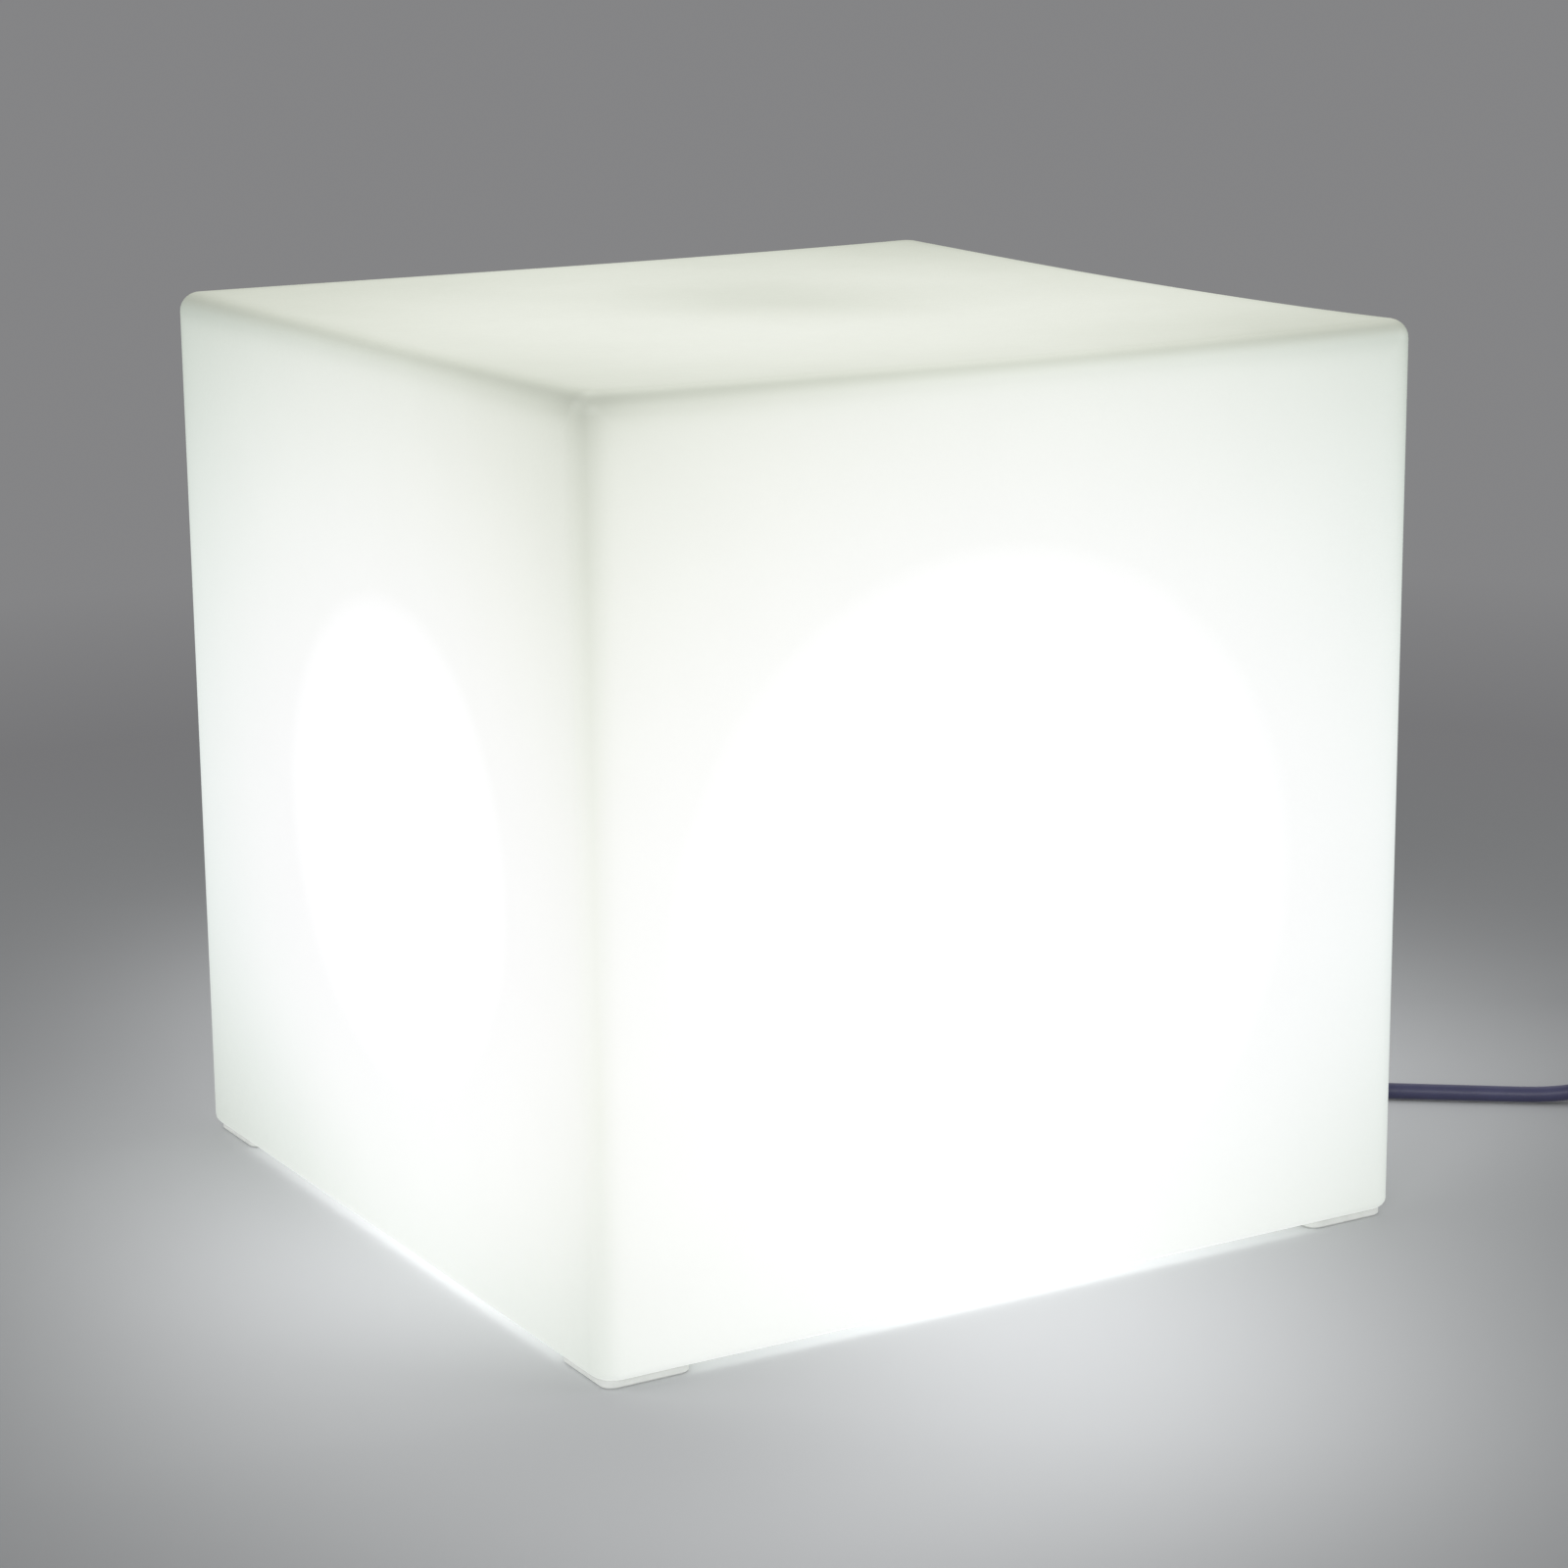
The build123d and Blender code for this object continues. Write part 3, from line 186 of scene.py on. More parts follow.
shellForm = {
    "edge": 0.0085,  # radius of the upright edges
    "rim": 0.0065,  # radius of the top edges
    "lowEdge": 0.0030,
    "leastRadius": 0.0010,
    "wall": 0.0040,
    "faceSag": 0.0006,  # how far the middle of a side face draws in, on top of the next
    "highSag": 0.0010,  # how far a top edge draws in between its corners, towards the middle
    "topSag": 0.00105,  # how far a top edge bows down, more along the front right
    "sagLean": 0.45,
    "ripple": 0.00012,
    "rippleX": (7.3, 2.1, 5.9, 0.4),  # for each way that points move: how quick the two waves are, and their starts
    "rippleY": (6.7, 0.9, 7.1, 1.7),
    "rippleZ": (8.1, 1.3, 6.3, 0.2),
    "well": 0.0750,  # radius of the well that the cover closes
    "wellTop": 0.0240,
    "mouth": 0.0500,  # radius of the opening above the well
    "channelHalf": 0.0080,  # the cord's way out, at the foot of the right-hand side
    "channelTop": 0.0200,
    "channelCorner": 0.0050,
    "channelDraft": 0.0003,
    "channelMargin": 0.0135,  # where the plain columns beside the channel begin
    "sideSteps": 44,
    "cornerSteps": 9,
    "archSteps": 6,  # round each corner of the channel
    "rowSteps": {"mouth": 4, "well": 5, "under": 9, "lowEdge": 5, "side": 36, "rim": 8, "top": 26},
    "sharpAngle": 40,  # degrees
    "bossCircle": 0.0630,  # the four bosses that hold the cover's inserts
    "bossRadius": 0.0065,
    "bossRound": 0.0006,
    "bossHeight": 0.0130,
    "bossBore": 0.0031,
    "bossRoof": 0.0040,  # left above the bore
    "bossSteps": 24,
}
shellLow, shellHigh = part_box("cube_shell")
shellHalf = shellHigh.x
shellMiddle = shellHigh.z / 2


def shellColumns():
    # Round the cube, each column is a corner square's point plus a unit direction times the corner radius. Those in
    # the channel have a height to begin at and a fixed Y, and a margin that the wall adds to both on the inside.
    form = shellForm
    reach = shellHalf - form["edge"]
    plain = np.linspace(-1, 1, form["sideSteps"] + 1)[1:-1]
    beside = np.linspace(form["channelMargin"], reach, form["sideSteps"] // 2)[:-1] / reach
    bend = np.radians(np.linspace(0, 90, form["archSteps"]))
    flat = form["channelHalf"] - form["channelCorner"]
    archY = np.hstack([form["channelHalf"] + form["channelDraft"], flat + form["channelCorner"] * np.cos(bend)])
    archZ = np.hstack([shellLow.z, form["channelTop"] - form["channelCorner"] * (1 - np.sin(bend))])
    outY = np.hstack([form["wall"], form["wall"] * np.cos(bend)])
    outZ = np.hstack([form["wall"], form["wall"] * np.sin(bend)])
    acrossY = np.hstack([-archY, 0, archY[::-1]])
    acrossZ = np.hstack([archZ, form["channelTop"], archZ[::-1]])
    growY = np.hstack([-outY, 0, outY[::-1]])
    growZ = np.hstack([outZ, form["wall"], outZ[::-1]])
    first = np.hstack([-beside[::-1], acrossY / reach, beside])
    corner = np.radians(np.linspace(0, 90, form["cornerSteps"]))
    square, direction = [], []
    for side in range(4):
        along = first if side == 0 else plain
        turn = np.radians(90 * side)
        spin = np.array([[math.cos(turn), math.sin(turn)], [-math.sin(turn), math.cos(turn)]])
        flatPart = np.stack([np.ones_like(along), along], axis=1)
        square += [flatPart @ spin, np.ones((len(corner), 2)) @ spin]
        direction += [np.tile([1.0, 0.0], (len(along), 1)) @ spin]
        direction += [np.stack([np.cos(corner), np.sin(corner)], axis=1) @ spin]
    square, direction = np.vstack(square), np.vstack(direction)
    low = np.full(len(square), shellLow.z)
    fixedY = np.full(len(square), np.nan)
    margin = np.zeros((len(square), 2))
    margin[:, 1] = form["wall"]
    spot = slice(len(beside), len(beside) + len(acrossY))
    low[spot], fixedY[spot] = acrossZ, acrossY
    margin[spot] = np.stack([growY, growZ], axis=1)
    return {"square": square, "direction": direction, "low": low, "fixedY": fixedY, "margin": margin}


def squareRing(columns, half, radius, inner):
    # A square with rounded corners: each column's square point times half less the radius, plus its direction times
    # the radius. In the channel the fixed Y holds instead.
    ring = columns["square"] * (half - radius) + columns["direction"] * radius
    inChannel = ~np.isnan(columns["fixedY"])
    ring[inChannel, 1] = columns["fixedY"][inChannel] + (columns["margin"][inChannel, 0] if inner else 0)
    return ring


def roundRing(columns, radius, ring, channelRadius):
    # the columns' places on a circle, in line with the channel where it opens into the well
    inChannel = ~np.isnan(columns["fixedY"])
    angle = np.arctan2(ring[:, 1], ring[:, 0])
    inward = np.arcsin(np.clip(ring[:, 1] / channelRadius, -1, 1))
    atEdge, inEdge = np.abs(angle[inChannel]).max(), np.abs(inward[inChannel]).max()
    around = np.sign(angle) * np.interp(np.abs(angle), [atEdge, np.pi], [inEdge, np.pi])
    angle = np.where(inChannel, inward, around)
    return radius * np.stack([np.cos(angle), np.sin(angle)], axis=1)


def shellSide(columns, offset, inner):
    # one skin as rows of rings, from the mouth, over the well, the underside, the sides and the top to its middle
    form = shellForm
    steps, least = form["rowSteps"], form["leastRadius"]
    half, top = shellHalf - offset, shellHigh.z - offset
    edge, rim, lowEdge = (max(form[key] - offset, least) for key in ("edge", "rim", "lowEdge"))
    edge = max(edge, rim + least, lowEdge + least)
    low = columns["low"] + (columns["margin"][:, 1] if inner else 0)
    well = form["well"] + offset
    ceiling = form["wellTop"] + offset
    square = squareRing(columns, half, edge, inner)
    wellRing = roundRing(columns, well, square, well)
    foot = squareRing(columns, half - lowEdge, edge - lowEdge, inner)
    mouth = roundRing(columns, form["mouth"], squareRing(columns, shellHalf, form["edge"], False), form["well"])
    rows = []
    for share in np.linspace(0, 1, steps["mouth"]):
        rows.append((mouth * (1 - share) + wellRing * share, np.full(len(low), ceiling)))
    for share in np.linspace(0, 1, steps["well"])[1:]:
        rows.append((wellRing, ceiling * (1 - share) + low * share))
    for share in np.linspace(0, 1, steps["under"])[1:-1]:
        rows.append((wellRing * (1 - share) + foot * share, low))
    for bend in np.radians(np.linspace(0, 90, steps["lowEdge"])):
        inset = lowEdge * (1 - math.sin(bend))
        rows.append((squareRing(columns, half - inset, edge - inset, inner), low + lowEdge * (1 - math.cos(bend))))
    for share in np.linspace(0, 1, steps["side"])[1:-1]:
        rows.append((square, (low + lowEdge) * (1 - share) + (top - rim) * share))
    for bend in np.radians(np.linspace(0, 90, steps["rim"])):
        inset = rim * (1 - math.cos(bend))
        height = top - rim + rim * math.sin(bend)
        rows.append((squareRing(columns, half - inset, edge - inset, inner), np.full(len(low), height)))
    lid = rows[-1][0]
    for share in np.linspace(1, 0, steps["top"])[1:-1]:
        rows.append((lid * share, np.full(len(low), top)))
    return np.array([np.column_stack(row) for row in rows])


def rippled(first, second, waves):
    # one plus the product of a sine along each of two ways
    quick, start, quickToo, startToo = waves
    return 1 + np.sin(quick * first + start) * np.sin(quickToo * second + startToo)


def drawIn(points):
    # Sides shrink in proportion to one minus the square of the way along, by one part for the whole height and by one
    # that grows upwards, so that the low and upright edges stay straight and the top edges draw in. Above the middle,
    # heights drop by two less both squares, more to the front right. All of it has a slow ripple.
    form = shellForm
    x, y = points[..., 0] / shellHalf, points[..., 1] / shellHalf
    z = (points[..., 2] - shellMiddle) / shellMiddle
    wave = form["ripple"]
    drawn = form["highSag"] * (1 + z) / 2 + form["faceSag"] * (1 - z**2)
    x2 = -x * (1 - y**2) * (drawn + wave * rippled(y, z, form["rippleX"]))
    y2 = -y * (1 - x**2) * (drawn + wave * rippled(x, z, form["rippleY"]))
    dropped = form["topSag"] * (2 - x**2 - y**2) * (1 + form["sagLean"] * (x - y))
    z2 = -np.clip(z, 0, 1) ** 2 * (dropped + wave * rippled(x, y, form["rippleZ"]))
    return points + np.stack([x2, y2, z2], axis=-1)


def gridFaces(rows, columns, start=0):
    # quads of a grid that closes on itself, its rows running outwards from a pole that faces up
    row, column = np.meshgrid(np.arange(rows - 1), np.arange(columns), indexing="ij")
    here, beside = row * columns + column, row * columns + (column + 1) % columns
    return start + np.stack([here, here + columns, beside + columns, beside], axis=-1).reshape(-1, 4)


def poleFaces(pole, first, columns, outward):
    # triangles from a pole to the ring that starts at the point first
    around = first + np.arange(columns)
    ahead = first + (np.arange(columns) + 1) % columns
    pair = (around, ahead) if outward else (ahead, around)
    return np.stack([np.full(columns, pole), *pair], axis=1)


def turnedPart(profile, steps, middle, start):
    # a closed outline of radius and height, whose ends lie on the axis, turned about an upright line
    profile = np.array(profile)
    angle = np.linspace(0, 2 * np.pi, steps, endpoint=False)
    rings = profile[1:-1]
    x = middle[0] + rings[:, :1] * np.cos(angle)
    y = middle[1] + rings[:, :1] * np.sin(angle)
    points = np.stack([x, y, np.broadcast_to(rings[:, 1:], x.shape)], axis=-1).reshape(-1, 3)
    ends = np.array([[*middle, profile[0, 1]], [*middle, profile[-1, 1]]])
    count = len(points)
    faces = gridFaces(len(rings), steps, start).tolist()
    faces += poleFaces(start + count, start, steps, True).tolist()
    faces += poleFaces(start + count + 1, start + count - steps, steps, False).tolist()
    return np.vstack([points, ends]), faces


def makeShell():
    form = shellForm
    columns = shellColumns()
    outer = shellSide(columns, 0.0, False)[::-1]
    inner = shellSide(columns, form["wall"], True)
    rows = drawIn(np.concatenate([outer, inner]))
    poles = drawIn(np.array([[0, 0, shellHigh.z], [0, 0, shellHigh.z - form["wall"]]]))
    count = rows.shape[0] * rows.shape[1]
    points = np.vstack([rows.reshape(-1, 3), poles])
    faces = gridFaces(rows.shape[0], rows.shape[1]).tolist()
    faces += poleFaces(count, 0, rows.shape[1], True).tolist()
    faces += poleFaces(count + 1, count - rows.shape[1], rows.shape[1], False).tolist()

    bore, radius, rounding = form["bossBore"], form["bossRadius"], form["bossRound"]
    low = form["wellTop"] + form["wall"] / 2
    high = form["wellTop"] + form["bossHeight"]
    profile = [(0, high), (radius - rounding, high), (radius, high - rounding), (radius, low), (bore, low)]
    profile += [(bore, high - form["bossRoof"]), (0, high - form["bossRoof"])]
    for angle in np.radians([45, 135, 225, 315]):
        place = (form["bossCircle"] * math.cos(angle), form["bossCircle"] * math.sin(angle))
        part, partFaces = turnedPart(profile, form["bossSteps"], place, len(points))
        points = np.vstack([points, part])
        faces += partFaces

    mesh = bpy.data.meshes.new("shell")
    mesh.from_pydata(points.tolist(), [], faces)
    mesh.polygons.foreach_set("use_smooth", np.ones(len(mesh.polygons), bool))
    mesh.set_sharp_from_angle(angle=math.radians(form["sharpAngle"]))
    mesh.update()
    shell = bpy.data.objects.new("shell", mesh)
    bpy.context.scene.collection.objects.link(shell)
    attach(shell, "lamp")
    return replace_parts(shell, "cube_shell")


shell = makeShell()
print("shell made with", len(shell.data.polygons), "faces")


def emptyMaterial(name):
    material = bpy.data.materials.new(name)
    material.use_nodes = True
    tree = material.node_tree
    tree.nodes.clear()
    output = tree.nodes.new("ShaderNodeOutputMaterial")
    surface = tree.nodes.new("ShaderNodeBsdfPrincipled")
    tree.links.new(surface.outputs["BSDF"], output.inputs["Surface"])
    return material, tree, surface


def calc(tree, operation, *values, clamp=False):
    node = tree.nodes.new("ShaderNodeMath")
    node.operation = operation
    node.use_clamp = clamp
    for socket, value in zip(node.inputs, values):
        if isinstance(value, bpy.types.NodeSocket):
            tree.links.new(value, socket)
        else:
            socket.default_value = value
    return node.outputs[0]


def addAll(tree, *values):
    total = values[0]
    for value in values[1:]:
        total = calc(tree, "ADD", total, value)
    return total


def sumOfProducts(tree, *pairs):
    return addAll(tree, *[calc(tree, "MULTIPLY", *pair) for pair in pairs])


def distance(tree, first, second):
    return calc(tree, "ABSOLUTE", calc(tree, "SUBTRACT", first, second))


def bell(tree, ways, middle, reach):
    # exp of minus the sum of the squares of how far each way is from the middle, counted in reaches
    shares = []
    for way, at, far in zip(ways, middle, reach):
        shares.append(calc(tree, "DIVIDE", calc(tree, "SUBTRACT", way, at), far))
    return calc(tree, "EXPONENT", calc(tree, "MULTIPLY", sumOfProducts(tree, *zip(shares, shares)), -1.0))


def splitVector(tree, vector):
    node = tree.nodes.new("ShaderNodeSeparateXYZ")
    tree.links.new(vector, node.inputs[0])
    return tuple(node.outputs)


def noise(tree, scale, detail=3.0, stretch=(1, 1, 1), offset=(0, 0, 0)):
    place = tree.nodes.new("ShaderNodeTexCoord")
    mapping = tree.nodes.new("ShaderNodeMapping")
    mapping.inputs["Scale"].default_value = stretch
    mapping.inputs["Location"].default_value = offset
    texture = tree.nodes.new("ShaderNodeTexNoise")
    texture.inputs["Scale"].default_value = scale
    texture.inputs["Detail"].default_value = detail
    tree.links.new(place.outputs["Object"], mapping.inputs["Vector"])
    tree.links.new(mapping.outputs[0], texture.inputs["Vector"])
    return texture.outputs[0]


def spread(tree, value, low, high, fromLow=0.3, fromHigh=0.7):
    # takes the range of a value, which is about 0.3 to 0.7 for a noise, to another range
    node = tree.nodes.new("ShaderNodeMapRange")
    tree.links.new(value, node.inputs["Value"])
    for key, number in zip(("From Min", "From Max", "To Min", "To Max"), (fromLow, fromHigh, low, high)):
        node.inputs[key].default_value = number
    return node.outputs[0]


def mixColours(tree, share, first, second):
    node = tree.nodes.new("ShaderNodeMix")
    node.data_type = "RGBA"
    for socket, value in zip((node.inputs[0], node.inputs[6], node.inputs[7]), (share, first, second)):
        if isinstance(value, bpy.types.NodeSocket):
            tree.links.new(value, socket)
        else:
            socket.default_value = (*value, 1)
    return node.outputs[2]


def addBump(tree, surface, height, depth, strength):
    bump = tree.nodes.new("ShaderNodeBump")
    bump.inputs["Strength"].default_value = strength
    bump.inputs["Distance"].default_value = depth
    tree.links.new(height, bump.inputs["Height"])
    tree.links.new(bump.outputs[0], surface.inputs["Normal"])


# painted light on the shell: the numbers of its glow, an emission worked out from each place, with painted shade in it
glow = {
    "skin": (0.464, 0.475, 0.45),  # how the satin plastic takes light from outside
    "skinShade": 0.94,  # of that, in some patches
    "skinPatch": 38.0,  # in a metre, as all the patches below
    "skinLevel": 0.765,  # the plain level of the lamps, which the glow makes room for
    "roughness": (0.45, 0.55),
    "roughPatch": 260.0,
    "grainPatch": 700.0,
    "grainDepth": 0.00006,
    "grainStrength": 0.6,
    "refraction": 1.5,
    "bulbHeight": 0.0923,
    "spotShift": (-0.0107, -0.0134),  # of the bright spot along the front and back, and along the left and right
    "reach": 0.150,
    "spotFront": 10.25,
    "spotSide": 8.6,
    "spotTop": 3.15,
    "spotUnder": 9.0,
    "underBoost": 0.7,  # the cover lets more light out below
    "underEdge": 4.0,  # only faces that point nearly straight down
    "haze": 0.04,
    "channelHaze": 1.1,  # in the cord's channel, whose walls face away from the bulb
    "channelDepth": (0.06, 0.12),  # on walls less than this far from the middle plane they face from, fading to none
    "hazeTop": 0.418,  # light that has been round the inside, seen on the top
    "hazeLean": 0.34,
    "mottle": 0.05,
    "mottlePatch": 14.0,
    "mottleOffset": (0.4, 0.1, 0.7),
    "shades": [  # painted shade on the glow: soft darker patches in the middle of the top and at its front right
        {"middle": (0.012, 0.018), "reach": 0.0656, "amount": 0.80},
        {"middle": (0.110, -0.150), "reach": 0.0700, "amount": 0.26},
    ],
    "warm": (0.93, 1.0, 0.80),  # the light near the front left edge
    "cool": (0.82, 1.0, 0.88),  # away from it
    "low": (0.90, 1.0, 0.87),  # along the lower edge
    "high": (0.93, 1.0, 0.78),  # and on the top
    "coolFrom": 0.06,  # along the floor from the near edge
    "coolReach": 0.20,
    "coolDrop": (1.25, 0.85),  # less of it with height
    "lowReach": 0.09,
    "discFront": {"height": 0.129, "reach": 0.103},  # painted light: the glow bleaches out to white in a disc on each side
    "discSide": {"height": 0.140, "reach": 0.073},
    "discLeast": 0.001,  # its reach where a surface faces up or down
    "discSoft": 0.12,
    "discGain": 2.5,
    "discExtra": 0.09,
    # painted shade on the glow: bands along the edges, under the top and low down, and where the wall turns over
    "bandWidth": 0.0070,
    "bandLoss": 0.31,  # along the edges, down to none at the lower one
    "rimWidth": 0.0088,
    "rimLoss": 0.225,  # on the sides, under the top
    "lowWidth": 0.084,
    "lowLoss": (0.50, 0.62),  # on the front and back, and on the left and right
    "turnLoss": 0.24,  # where the wall turns over into the top
    "corners": [  # a little painted light at three low corners and painted shade at the near top one
        {"middle": (-0.15, -0.15, 0.0), "reach": 0.050, "loss": -0.24},
        {"middle": (0.15, -0.15, 0.0), "reach": 0.060, "loss": -0.16},
        {"middle": (-0.15, 0.15, 0.0), "reach": 0.060, "loss": -0.36},
        {"middle": (-0.15, -0.15, 0.3), "reach": 0.014, "loss": 0.16},
    ],
}


def fromMiddle(tree, place):
    # how far a place is from the cube's middle along X, Y and Z
    return [distance(tree, way, middle) for way, middle in zip(place, (0.0, 0.0, shellMiddle))]


def bulbLight(tree, place, across, upward, downward):
    # The cosine over the squared distance: how much the surface faces each way times how far the bulb is that way, in
    # all, over the distance cubed.
    beside = [calc(tree, "MULTIPLY", share, shift) for share, shift in zip((across[1], across[0]), glow["spotShift"])]
    off = [distance(tree, way, at) for way, at in zip(place, (*beside, glow["bulbHeight"]))]
    facing = sumOfProducts(tree, *zip(across, off))
    fall = calc(tree, "DIVIDE", glow["reach"] ** 2, calc(tree, "POWER", sumOfProducts(tree, *zip(off, off)), 1.5))
    gain = sumOfProducts(
        tree,
        (across[1], glow["spotFront"]),
        (across[0], glow["spotSide"]),
        (upward, glow["spotTop"]),
        (downward, glow["spotUnder"]),
    )
    return calc(tree, "MULTIPLY", calc(tree, "MULTIPLY", facing, fall), gain)


def wallHaze(tree, place, across, upward):
    # painted light that has been round the inside: a little all over, more on the top around its painted shades, most
    # in the channel
    x, y, _ = place
    overTop = calc(tree, "MULTIPLY", calc(tree, "MULTIPLY_ADD", y, -glow["hazeLean"] / shellHalf, 1.0), glow["hazeTop"])
    for shade in glow["shades"]:
        soft = bell(tree, (x, y), shade["middle"], [shade["reach"]] * 2)
        overTop = calc(tree, "MULTIPLY_ADD", soft, -shade["amount"], overTop)
    patches = noise(tree, glow["mottlePatch"], offset=glow["mottleOffset"])
    mottled = spread(tree, patches, -glow["mottle"], glow["mottle"])
    haze = calc(tree, "MULTIPLY_ADD", upward, calc(tree, "ADD", overTop, mottled), glow["haze"])
    outward = sumOfProducts(tree, *zip(across, fromMiddle(tree, place)))
    return calc(tree, "ADD", haze, spread(tree, outward, glow["channelHaze"], 0.0, *glow["channelDepth"]))


def keptShare(tree, place, across, upward, sideward):
    # Painted shade on the glow: the share of the light that gets out is the product of one less each loss times its
    # bell, and a loss below none paints light instead. The band follows the edges, where the second largest distance
    # from the middle is half the cube as well.
    z = place[2]
    out = fromMiddle(tree, place)
    largest = calc(tree, "MAXIMUM", calc(tree, "MAXIMUM", out[0], out[1]), out[2])
    least = calc(tree, "MINIMUM", calc(tree, "MINIMUM", out[0], out[1]), out[2])
    second = calc(tree, "SUBTRACT", addAll(tree, *out), calc(tree, "ADD", largest, least))
    bandLoss = spread(tree, z, 0.0, glow["bandLoss"], 0.0, glow["lowReach"])
    rimLoss = calc(tree, "MULTIPLY", sideward, glow["rimLoss"])
    lowLoss = sumOfProducts(tree, *zip((across[1], across[0]), glow["lowLoss"]))
    losses = [
        ([second], [shellHalf], glow["bandWidth"], bandLoss),
        ([z], [shellHigh.z], glow["rimWidth"], rimLoss),
        ([z], [0.0], glow["lowWidth"], lowLoss),
    ]
    losses += [(place, corner["middle"], corner["reach"], corner["loss"]) for corner in glow["corners"]]
    turning = calc(tree, "MULTIPLY", upward, sideward)  # a quarter, halfway over the edge
    kept = calc(tree, "MULTIPLY_ADD", turning, -4 * glow["turnLoss"], 1.0)
    for ways, middle, reach, loss in losses:
        lost = calc(tree, "MULTIPLY", bell(tree, ways, middle, [reach] * len(ways)), loss)
        kept = calc(tree, "MULTIPLY", kept, calc(tree, "SUBTRACT", 1.0, lost))
    return kept


def bleachedDisc(tree, place, across):
    # painted light: one where the distance from a disc's middle is less than its reach, and none farther out, with a
    # soft rim
    shares = (across[1], across[0])
    beside = [distance(tree, way, shift) for way, shift in zip(place, glow["spotShift"])]
    along = sumOfProducts(tree, *zip(shares, beside))
    discs = (glow["discFront"], glow["discSide"])
    height = sumOfProducts(tree, *zip(shares, [disc["height"] for disc in discs]))
    reach = sumOfProducts(tree, *zip(shares, [disc["reach"] for disc in discs]))
    rise = calc(tree, "SUBTRACT", place[2], height)
    off = calc(tree, "SQRT", sumOfProducts(tree, (along, along), (rise, rise)))
    off = calc(tree, "DIVIDE", off, calc(tree, "MAXIMUM", reach, glow["discLeast"]))
    return spread(tree, off, 1.0, 0.0, 1.0 - glow["discSoft"], 1.0 + glow["discSoft"])


def lightTone(tree, place, upward, sideward):
    # warm by the near edge, cooler the farther from it and the lower, and a tone each for the foot and the top
    x, y, z = place
    away = calc(tree, "DIVIDE", addAll(tree, x, y, 2 * shellHalf - glow["coolFrom"]), glow["coolReach"])
    lowness = calc(tree, "MULTIPLY_ADD", z, -glow["coolDrop"][1] / shellHigh.z, glow["coolDrop"][0])
    cooled = calc(tree, "MULTIPLY", calc(tree, "MULTIPLY", away, lowness, clamp=True), sideward)
    tone = mixColours(tree, cooled, glow["warm"], glow["cool"])
    tone = mixColours(tree, spread(tree, z, 1.0, 0.0, 0.0, glow["lowReach"]), tone, glow["low"])
    return splitVector(tree, mixColours(tree, upward, tone, glow["high"]))


def shellMaterial():
    # Painted light: an emission worked out from each place stands in for the light through the wall: the kept share
    # of the bulb's light and the haze, and the disc. Each colour of it nears white as one minus exp of minus the light
    # times its tone, less what the lamps already add to the skin.
    material, tree, surface = emptyMaterial("satinDiffuser")
    coordinates = tree.nodes.new("ShaderNodeTexCoord")
    place = splitVector(tree, coordinates.outputs["Object"])
    normal = splitVector(tree, coordinates.outputs["Normal"])
    across = [calc(tree, "MULTIPLY", way, way) for way in normal]  # how much the surface faces along X, Y and Z
    upward = calc(tree, "POWER", calc(tree, "MAXIMUM", normal[2], 0.0), 2.0)
    downward = calc(tree, "SUBTRACT", across[2], upward)
    sideward = calc(tree, "ADD", across[0], across[1])

    haze = wallHaze(tree, place, across, upward)
    light = calc(tree, "ADD", haze, bulbLight(tree, place, across, upward, downward))
    light = calc(tree, "MULTIPLY", keptShare(tree, place, across, upward, sideward), light)
    disc = bleachedDisc(tree, place, across)
    light = calc(tree, "MULTIPLY_ADD", disc, glow["discGain"], light)
    boost = calc(tree, "MULTIPLY_ADD", calc(tree, "POWER", downward, glow["underEdge"]), glow["underBoost"], 1.0)
    emission = tree.nodes.new("ShaderNodeCombineXYZ")
    for socket, tone, skin in zip(emission.inputs, lightTone(tree, place, upward, sideward), glow["skin"]):
        dark = calc(tree, "EXPONENT", calc(tree, "MULTIPLY", calc(tree, "MULTIPLY", light, tone), -1.0))
        room = calc(tree, "MULTIPLY_ADD", disc, glow["discExtra"], 1.0 - skin * glow["skinLevel"])
        extra = calc(tree, "MAXIMUM", calc(tree, "SUBTRACT", room, dark), 0.0)
        tree.links.new(calc(tree, "MULTIPLY", extra, boost), socket)
    tree.links.new(emission.outputs[0], surface.inputs["Emission Color"])
    surface.inputs["Emission Strength"].default_value = 1.0

    shaded = [glow["skinShade"] * part for part in glow["skin"]]
    colour = mixColours(tree, noise(tree, glow["skinPatch"], detail=4.0), glow["skin"], shaded)
    tree.links.new(colour, surface.inputs["Base Color"])
    rough = spread(tree, noise(tree, glow["roughPatch"]), *glow["roughness"])
    tree.links.new(rough, surface.inputs["Roughness"])
    surface.inputs["IOR"].default_value = glow["refraction"]
    addBump(tree, surface, noise(tree, glow["grainPatch"], detail=2.0), glow["grainDepth"], glow["grainStrength"])
    return material


finishTexture = {
    "patchDetail": 4.0,
    "grainDetail": 3.0,
    "grainStrength": 0.5,
    "roughShares": (0.85, 1.20),  # of a finish's roughness, at its smoothest and its roughest
    "sheenRoughness": 0.35,
}

